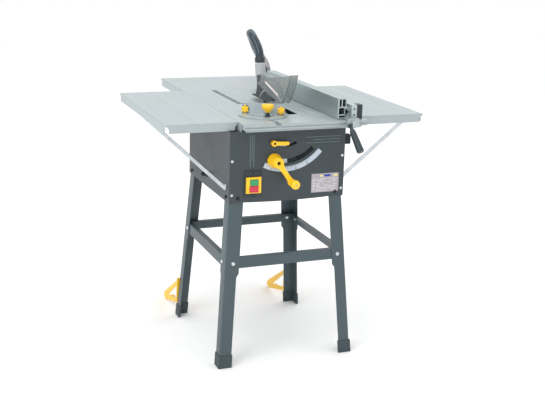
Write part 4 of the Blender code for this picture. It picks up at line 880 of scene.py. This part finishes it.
def crank():
    """The cast yellow crank: a tapering hub with a bore in its face, a waisted arm and a boss that carries the grip.
    """
    hub = turned([(0, -0.2310), (0.0250, -0.2310), (0.0250, -0.2370), (0.0243, -0.2400), (0.0205, -0.2600),
                  (0.0190, -0.2720),
                  (0.0172, -0.2758), (0.0160, -0.2770), (0, -0.2770)], (CRANK[0], 0, CRANK[1]), (0, 1, 0), 48)
    run = Vector((KNOB[0] - CRANK[0], 0, KNOB[1] - CRANK[1]))
    side = Vector((-run.z, 0, run.x)).normalized()
    rings = []
    for i in range(17):
        share = 0.05 + 0.95 * i / 16
        waist = 0.0082 + 0.0072 * (1 - min(share / 0.40, 1.0)) ** 1.3 + 0.0030 * max(0.0, (share - 0.65) / 0.35) ** 2
        centre = Vector((CRANK[0], 0, CRANK[1])) + run * share
        front, back = -0.2768, -0.2640
        outline = rectangle(-waist, waist, front, back, 0.0030, 4)
        rings.append([centre + side * u + Vector((0, v, 0)) for u, v in outline])
    boss = turned([(0, -0.2630), (0.0125, -0.2630), (0.0130, -0.2640), (0.0130, -0.2760), (0.0122, -0.2770), (0,
        -0.2770)],
                  (KNOB[0], 0, KNOB[1]), (0, 1, 0), 32)
    bore = rod((CRANK[0], -0.2700, CRANK[1]), (CRANK[0], -0.29, CRANK[1]), 0.0072, 32)
    shaft = rod((CRANK[0], -0.2320, CRANK[1]), (CRANK[0], -0.1180, CRANK[1]), 0.0060, 24)
    gear = turned([(0, -0.0090), (0.0110, -0.0090), (0.0080, 0), (0, 0)], (CRANK[0], -0.1145, CRANK[1]), (0, 1,
        0), 24)
    add("crank_body", cut(fuse(hub, loft(rings), boss), bore), "yellow_plastic", "crank", ("crank_handle",),
        0.0008, segments=3)
    add("crank_shaft", fuse(shaft, gear), "zinc", "crank", edge=0.0003)
    cap = dome(Vector((CRANK[0], -0.2702, CRANK[1])), Vector((0, -1, 0)), 0.0055, 0.0030)
    add("crank_screw", cap, "black_steel", "crank")
    tip = -0.3150
    grip = [(0, tip + 0.0030), (0.0036, tip + 0.0030), (0.0044, tip + 0.0004), (0.0075, tip), (0.0120, tip + 0.0018),
            (0.0150, tip + 0.0060), (0.0158, tip + 0.0110), (0.0148, tip + 0.0180), (0.0120, tip + 0.0270),
            (0.0104, tip + 0.0330), (0.0106, tip + 0.0360), (0.0110, -0.2776), (0, -0.2776)]
    add("crank_grip_body", turned(grip, (KNOB[0], 0, KNOB[1]), (0, 1, 0), 40), "yellow_plastic", "crank_grip",
        ("crank_knob",), sharp=50)
    add("crank_grip_screw", turned([(0, tip + 0.0022), (0.0030, tip + 0.0022), (0.0030, tip + 0.0060), (0,
        tip + 0.0060)],
                                   (KNOB[0], 0, KNOB[1]), (0, 1, 0), 16), "cast_metal", "crank_grip")


def levers():
    refine("lock_lever", 0.0012, segments=3)
    low = saw_box("lock_lever")[0]
    x, z = on_tilt(0.0863, -31.2)
    screw = dome(Vector((x, low.y + 0.0003, z)), Vector((0, -1, 0)), 0.0042, 0.0014)
    add("lock_lever_screw", screw, "black_steel", "tilt_lock")
    refine("clamp_lever", 0.0012, segments=3)


# ---------------------------------------------------------------- guard

GUARD_HALF, GUARD_WALL = 0.0140, 0.0016
PIVOT = (0.1500, 0.9280)


def hood(outline, inside):
    """A moulded channel: an outline with a hollow that is open below."""
    body = plate(outline, "x", BLADE_X - GUARD_HALF, BLADE_X + GUARD_HALF)
    reach = GUARD_HALF - GUARD_WALL
    return cut(body, plate(inside, "x", BLADE_X - reach, BLADE_X + reach))


NOSE = [(-0.1540, 0.9871), (-0.1450, 0.9592), (-0.1265, 0.9260), (-0.1056, 0.9027), (-0.0853, 0.8833)]
NOSE_SHEET = 0.0022
NOTCH_HALF, NOTCH_TOP = 0.0040, 0.8925
COVER_TOP = [(-0.0900, 0.9761), (-0.0400, 0.9679), (0.0045, 0.9605), (0.0363, 0.9546), (0.0642, 0.9525),
             (0.0926, 0.9518), (0.1120, 0.9542), (0.1270, 0.9592), (0.1400, 0.9640)]
COVER_LOW = [(0.1640, 0.9400), (0.1640, 0.9150), (0.0933, 0.9000), (0.0493, 0.8920), (0.0156, 0.8870),
             (-0.0360, 0.8800)]


def curved_rib(points, width, proud):
    """A raised rib along a line of (y, z) points, on both faces of the guard."""
    left, right = [], []
    for i, (y, z) in enumerate(points):
        before, after = points[max(i - 1, 0)], points[min(i + 1, len(points) - 1)]
        run = Vector((after[0] - before[0], after[1] - before[1])).normalized()
        left.append((y - run.y * width / 2, z + run.x * width / 2))
        right.append((y + run.y * width / 2, z - run.x * width / 2))
    outline = left + right[::-1]
    near = plate(outline, "x", BLADE_X - GUARD_HALF - proud, BLADE_X - GUARD_HALF + 0.0004)
    far = plate(outline, "x", BLADE_X + GUARD_HALF - 0.0004, BLADE_X + GUARD_HALF + proud)
    return [near, far]


def spline(points, per_span=6):
    """Points on a Catmull-Rom curve through (u, v) points."""
    return [(point.x, point.y) for point in smooth_route([(u, v, 0.0) for u, v in points], per_span)]


def guard_cover():
    """The clear hood over the blade, with its embossed lens line, a label stripe and two pivot heads."""
    front = [(y + NOSE_SHEET + GAP * 2, z) for y, z in NOSE]
    top = spline(COVER_TOP[:-2] + [(0.1278, 0.9595)], 3)
    outline = front[:1] + top + [(0.1278, 0.9340), (0.1640, 0.9340)] + COVER_LOW[1:] + front[:0:-1]
    roof = [(y, z - GUARD_WALL) for y, z in front[:1] + top]
    inside = [(-0.2000, roof[0][1] + 0.0100), *roof, (0.2000, 0.9640), (0.2000, 0.8500), (-0.2000, 0.8500)]
    pins = [turned([(0, 0), (0.0055, 0), (0.0055, 0.0012), (0.0040, 0.0020), (0, 0.0020)],
                   (BLADE_X + side * GUARD_HALF, *PIVOT), (side, 0, 0), 24) for side in (-1, 1)]
    add("guard_shell", hood(outline, inside), "smoked_plastic", "guard", ("guard_cover",), 0.0005)
    add("guard_pins", joined(*pins), "black_plastic", "guard")
    lens = spline([(0.1156, 0.9405), (0.0489, 0.9480), (-0.0120, 0.9500), (-0.0536, 0.9440), (-0.0800, 0.9280),
                   (-0.0820, 0.9126), (-0.0710, 0.8965)])
    add("guard_ribs", joined(*curved_rib(lens, 0.0030, 0.0007)), "clear_rib", "guard")
    add("guard_label", joined(*curved_rib([(0.0808, 0.9318), (-0.0479, 0.9027)], 0.0080, 0.0003)), "guard_label",
        "guard")


def guard_flap():
    """The leaning front window, framed by dark lines and notched at its foot for the blade."""
    outline = NOSE + [(y + NOSE_SHEET, z) for y, z in reversed(NOSE)]
    window = plate(outline, "x", BLADE_X - GUARD_HALF, BLADE_X + GUARD_HALF)
    notch = block(BLADE_X - NOTCH_HALF, BLADE_X + NOTCH_HALF, NOSE[-2][0], 0.0, 0.8700, NOTCH_TOP)
    add("flap_shell", cut(window, notch), "smoked_plastic", "guard", ("guard_flap",))
    sides = curved_rib([(y + 0.0012, z) for y, z in NOSE], 0.0020, 0.0005)
    spans = [(NOSE[0], -GUARD_HALF, GUARD_HALF), (NOSE[-1], -GUARD_HALF, -NOTCH_HALF),
             (NOSE[-1], NOTCH_HALF, GUARD_HALF)]
    ends = [rod((BLADE_X + near, y + 0.0012, z), (BLADE_X + far, y + 0.0012, z), 0.0011, 16)
            for (y, z), near, far in spans]
    add("flap_edges", joined(*sides, *ends), "dark_edge", "guard")


def guard_bracket():
    """The dark carrier on the riving knife, with a clear spigot that the hose is pushed on to."""
    outline = rounded([(0.0060, 0.8735), (0.0760, 0.8620), (0.2200, 0.8620), (0.2170, 0.8670), (0.1800, 0.8700),
                       (0.1680, 0.9050), (0.1780, 0.9480), (0.1480, 0.9480), (0.1250, 0.9200), (0.0830, 0.9040),
                       (0.0380, 0.8920)],
                      [0.002, 0.004, 0.001, 0.002, 0.010, 0.012, 0.003, 0.006, 0.012, 0.012, 0.010])
    half = 0.0118
    body = plate(outline, "x", BLADE_X - half, BLADE_X + half)
    blade_room = block(BLADE_X - half + 0.0022, BLADE_X + half - 0.0022, -0.02, 0.1230, 0.85, 1.0)
    knife_room = block(BLADE_X - 0.0015, BLADE_X + 0.0015, 0.1200, 0.1760, 0.85, 0.9215)
    add("bracket_body", cut(body, blade_room, knife_room), "black_plastic", "tilt_unit", ("guard_bracket",), 0.0008)
    foot, tip = Vector((BLADE_X, 0.1630, 0.9400)), Vector((BLADE_X, 0.1745, 0.9850))
    length = (tip - foot).length
    outer = [(0, 0.002), (0.0180, 0.002), (0.0192, 0.006), (0.0192, length - 0.004), (0.0195, length - 0.003),
             (0.0195, length), (0.0165, length), (0.0165, 0.020), (0, 0.018)]
    add("spigot", turned(outer, foot, tip - foot, 36), "clear_pipe", "tilt_unit")
    start, end = Vector(HOSE_ROUTE[0]), Vector(HOSE_ROUTE[1])
    sleeve = [(0.0162, 0), (0.0185, 0.0010), (0.0188, 0.0170), (0.0162, 0.0195)]
    add("hose_sleeve", turned(sleeve + [sleeve[0]], start, end - start, 36), "black_plastic", "tilt_unit")
    line = spline([(0.0806, 0.9040), (0.1050, 0.8930), (0.1250, 0.8790), (0.1369, 0.8686)], 5)
    pale = [moved(mesh, Matrix.Translation((side * 0.0022, 0, 0)))
            for mesh, side in zip(curved_rib(line, 0.0022, 0.0002), (1, -1))]
    add("bracket_line", joined(*pale), "label_line", "tilt_unit")


def saw_unit():
    """The blade with its tips, the arbor, the riving knife and the finned motor."""
    refine("saw_blade", 0.0, sharp=20)
    refine("arbor_and_flanges", 0.0004)
    refine("riving_knife", 0.0004)
    refine("tilt_trunnion", 0.0006)
    refine("height_screw", 0.0003)
    refine("arbor_housing", 0.0010)
    refine("motor_housing", 0.0008)
    fins = [rod((x, 0, 0.7350), (x + 0.0024, 0, 0.7350), 0.0461, 40)
            for x in (-0.128 + i * 0.0095 for i in range(9))]
    add("motor_fins", joined(*fins), "motor_metal", "lift_carriage")
    tips = []
    for i in range(40):
        angle = math.radians(9.0 * i)
        tip = block(-0.0017, 0.0017, -0.0012, 0.0006, -0.1250, -0.1195)
        turn = Matrix.Translation((BLADE_X, 0, 0.7630)) @ Matrix.Rotation(angle, 4, "X")
        tips.append(moved(tip, turn))
    add("blade_tips", joined(*tips), "carbide", "blade")


# ---------------------------------------------------------------- fence

def fence():
    refine("fence_profile", 0.0006)
    x, z0 = 0.1650, TABLE_TOP + 0.0012
    rail_front, fence_front = -0.2750, -0.2500
    foot_y0 = rail_front - 0.0170
    bar_x0, bar_x1 = x + 0.0425, x + 0.0620
    arm = block(bar_x0, bar_x1, -0.2700, -0.1900, z0, z0 + 0.0490)
    hook_top = block(bar_x0 - 0.0200, bar_x1, foot_y0, fence_front - GAP, z0, z0 + 0.0080)
    hook = block(bar_x0 - 0.0200, bar_x1, foot_y0, rail_front - 0.0010, TABLE_TOP - 0.0220, z0 + 0.0080)
    ear = block(bar_x0 - 0.0100, bar_x0 + 0.0025, foot_y0 - 0.0120, foot_y0 + 0.0010, TABLE_TOP - 0.0220, z0 + 0.0020)
    pin = rod((bar_x0 - 0.0200, foot_y0 - 0.0070, TABLE_TOP - 0.0140),
              (bar_x0 + 0.0030, foot_y0 - 0.0070, TABLE_TOP - 0.0140),
              0.0025, 20)
    add("fence_head", fuse(arm, hook_top, hook, ear, pin), "cast_metal", "fence", ("fence_clamp",), 0.0012,
        segments=3)
    cap = folded_box(x + 0.0612, x + 0.0860, -0.2640, -0.2340, z0 - 0.0001, z0 + 0.0490, 0.0025)
    add("fence_cap", cap, "black_plastic", "fence", edge=0.0012, segments=3)
    screws = [dome(Vector((bar_x0 + 0.0100, -0.2700, z)), Vector((0, -1, 0)), 0.0030, 0.0014)
              for z in (z0 + 0.016, z0 + 0.036)]
    add("fence_screws", joined(*screws), "black_steel", "fence")


# ---------------------------------------------------------------- mitre gauge

HEAD_Y, HEAD_TURN = -0.1250, -29.0
HEAD_TOP = TABLE_TOP + 0.0052
STAR_X, STAR_Z = 0.0620, TABLE_TOP + 0.0190
HEAD = Matrix.Translation((GROOVE_X, HEAD_Y, 0)) @ Matrix.Rotation(math.radians(HEAD_TURN), 4, "Z")


def star(x):
    """A six-lobed knob with a domed face."""
    rings = []
    for depth, scale in ((0.0060, 0.86), (0.0052, 0.97), (0.0035, 1.0), (-0.0005, 1.0), (-0.0022, 0.93),
                         (-0.0030, 0.78)):
        ring = []
        for i in range(48):
            angle = 2 * math.pi * i / 48
            radius = (0.0121 + 0.0019 * math.cos(6 * angle)) * scale
            ring.append((x + radius * math.sin(angle), depth, STAR_Z + radius * math.cos(angle)))
        rings.append(ring)
    return loft(rings)


def mitre_gauge():
    refine("mitre_bar", 0.0006)
    refine("mitre_head", 0.0008)
    refine("mitre_fence", 0.0006)
    ticks = []
    for degree in range(-60, 61, 5):
        length = 0.0070 if degree % 15 == 0 else 0.0045
        half = 0.00045 if degree % 15 == 0 else 0.0003
        centre = arc((0, 0), 0.0820 - length / 2, degree, degree, 1)[0]
        turn = HEAD @ Matrix.Translation((centre[0], centre[1], 0)) @ Matrix.Rotation(math.radians(degree), 4, "Z")
        ticks.append(moved(block(-half, half, -length / 2, length / 2, HEAD_TOP - 0.0002, HEAD_TOP + 0.00015), turn))
    add("gauge_ticks", joined(*ticks), "ink", "gauge_head")
    for name, side in (("left", -1), ("right", 1)):
        x = side * STAR_X
        washer = rod((x, 0.0058, STAR_Z), (x, 0.0096, STAR_Z), 0.0128, 32)
        screw = fuse(rod((x, 0.0080, STAR_Z), (x, 0.0200, STAR_Z), 0.0024, 16),
                     rod((x, 0.0178, STAR_Z), (x, 0.0210, STAR_Z), 0.0050, 16))
        add(name + "_star_body", moved(star(x), HEAD), "yellow_plastic", name + "_star",
            (name + "_star_knob",), sharp=55)
        add(name + "_star_back", moved(fuse(washer, screw), HEAD), "black_plastic", name + "_star", edge=0.0004)
    y, base = HEAD_Y - 0.0450, HEAD_TOP + 0.0145
    profile = [(0, base), (0.0085, base), (0.0090, base + 0.0020), (0.0120, base + 0.0050), (0.0160, base + 0.0095),
               (0.0192, base + 0.0140), (0.0203, base + 0.0170), (0.0205, base + 0.0245), (0.0201, base + 0.0258),
               (0.0188, base + 0.0265), (0, base + 0.0265)]
    add("lock_knob_body", turned(profile, (GROOVE_X, y, 0), (0, 0, 1), 48), "yellow_plastic", "gauge_lock",
        ("mitre_lock_knob",), sharp=60)
    stem = turned([(0, HEAD_TOP + GAP), (0.0110, HEAD_TOP + GAP), (0.0110, HEAD_TOP + 0.0016),
                   (0.0085, HEAD_TOP + 0.0022), (0.0085, HEAD_TOP + 0.0070), (0.0062, HEAD_TOP + 0.0078),
                   (0.0062, base + 0.0005), (0, base + 0.0005)], (GROOVE_X, y, 0), (0, 0, 1), 32)
    add("lock_knob_stem", stem, "black_plastic", "gauge_lock")


# ---------------------------------------------------------------- struts

def struts():
    for name in ("left_strut", "right_strut", "rear_left_strut", "rear_right_strut"):
        refine(name, 0.0005)
    ends = [(Vector((-0.2105, -0.1960, 0.6315)), Vector((-1, 0, 0))),
            (Vector((0.2170, -0.1985, 0.6370)), Vector((0, -1, 0)))]
    add("strut_bolts", joined(*[dome(point, axis, 0.0055, 0.0030, 0.0066) for point, axis in ends]), "zinc")


# ---------------------------------------------------------------- assembly

def main():
    camera()
    studio()
    hose()
    tables()
    struts()
    housing()
    rating_plate()
    tilt_scale()
    switch()
    stand()
    crank()
    levers()
    saw_unit()
    guard_bracket()
    guard_cover()
    guard_flap()
    fence()
    mitre_gauge()


FINISHES = build_finishes()
EXTRAS = build_extra_finishes()
main()
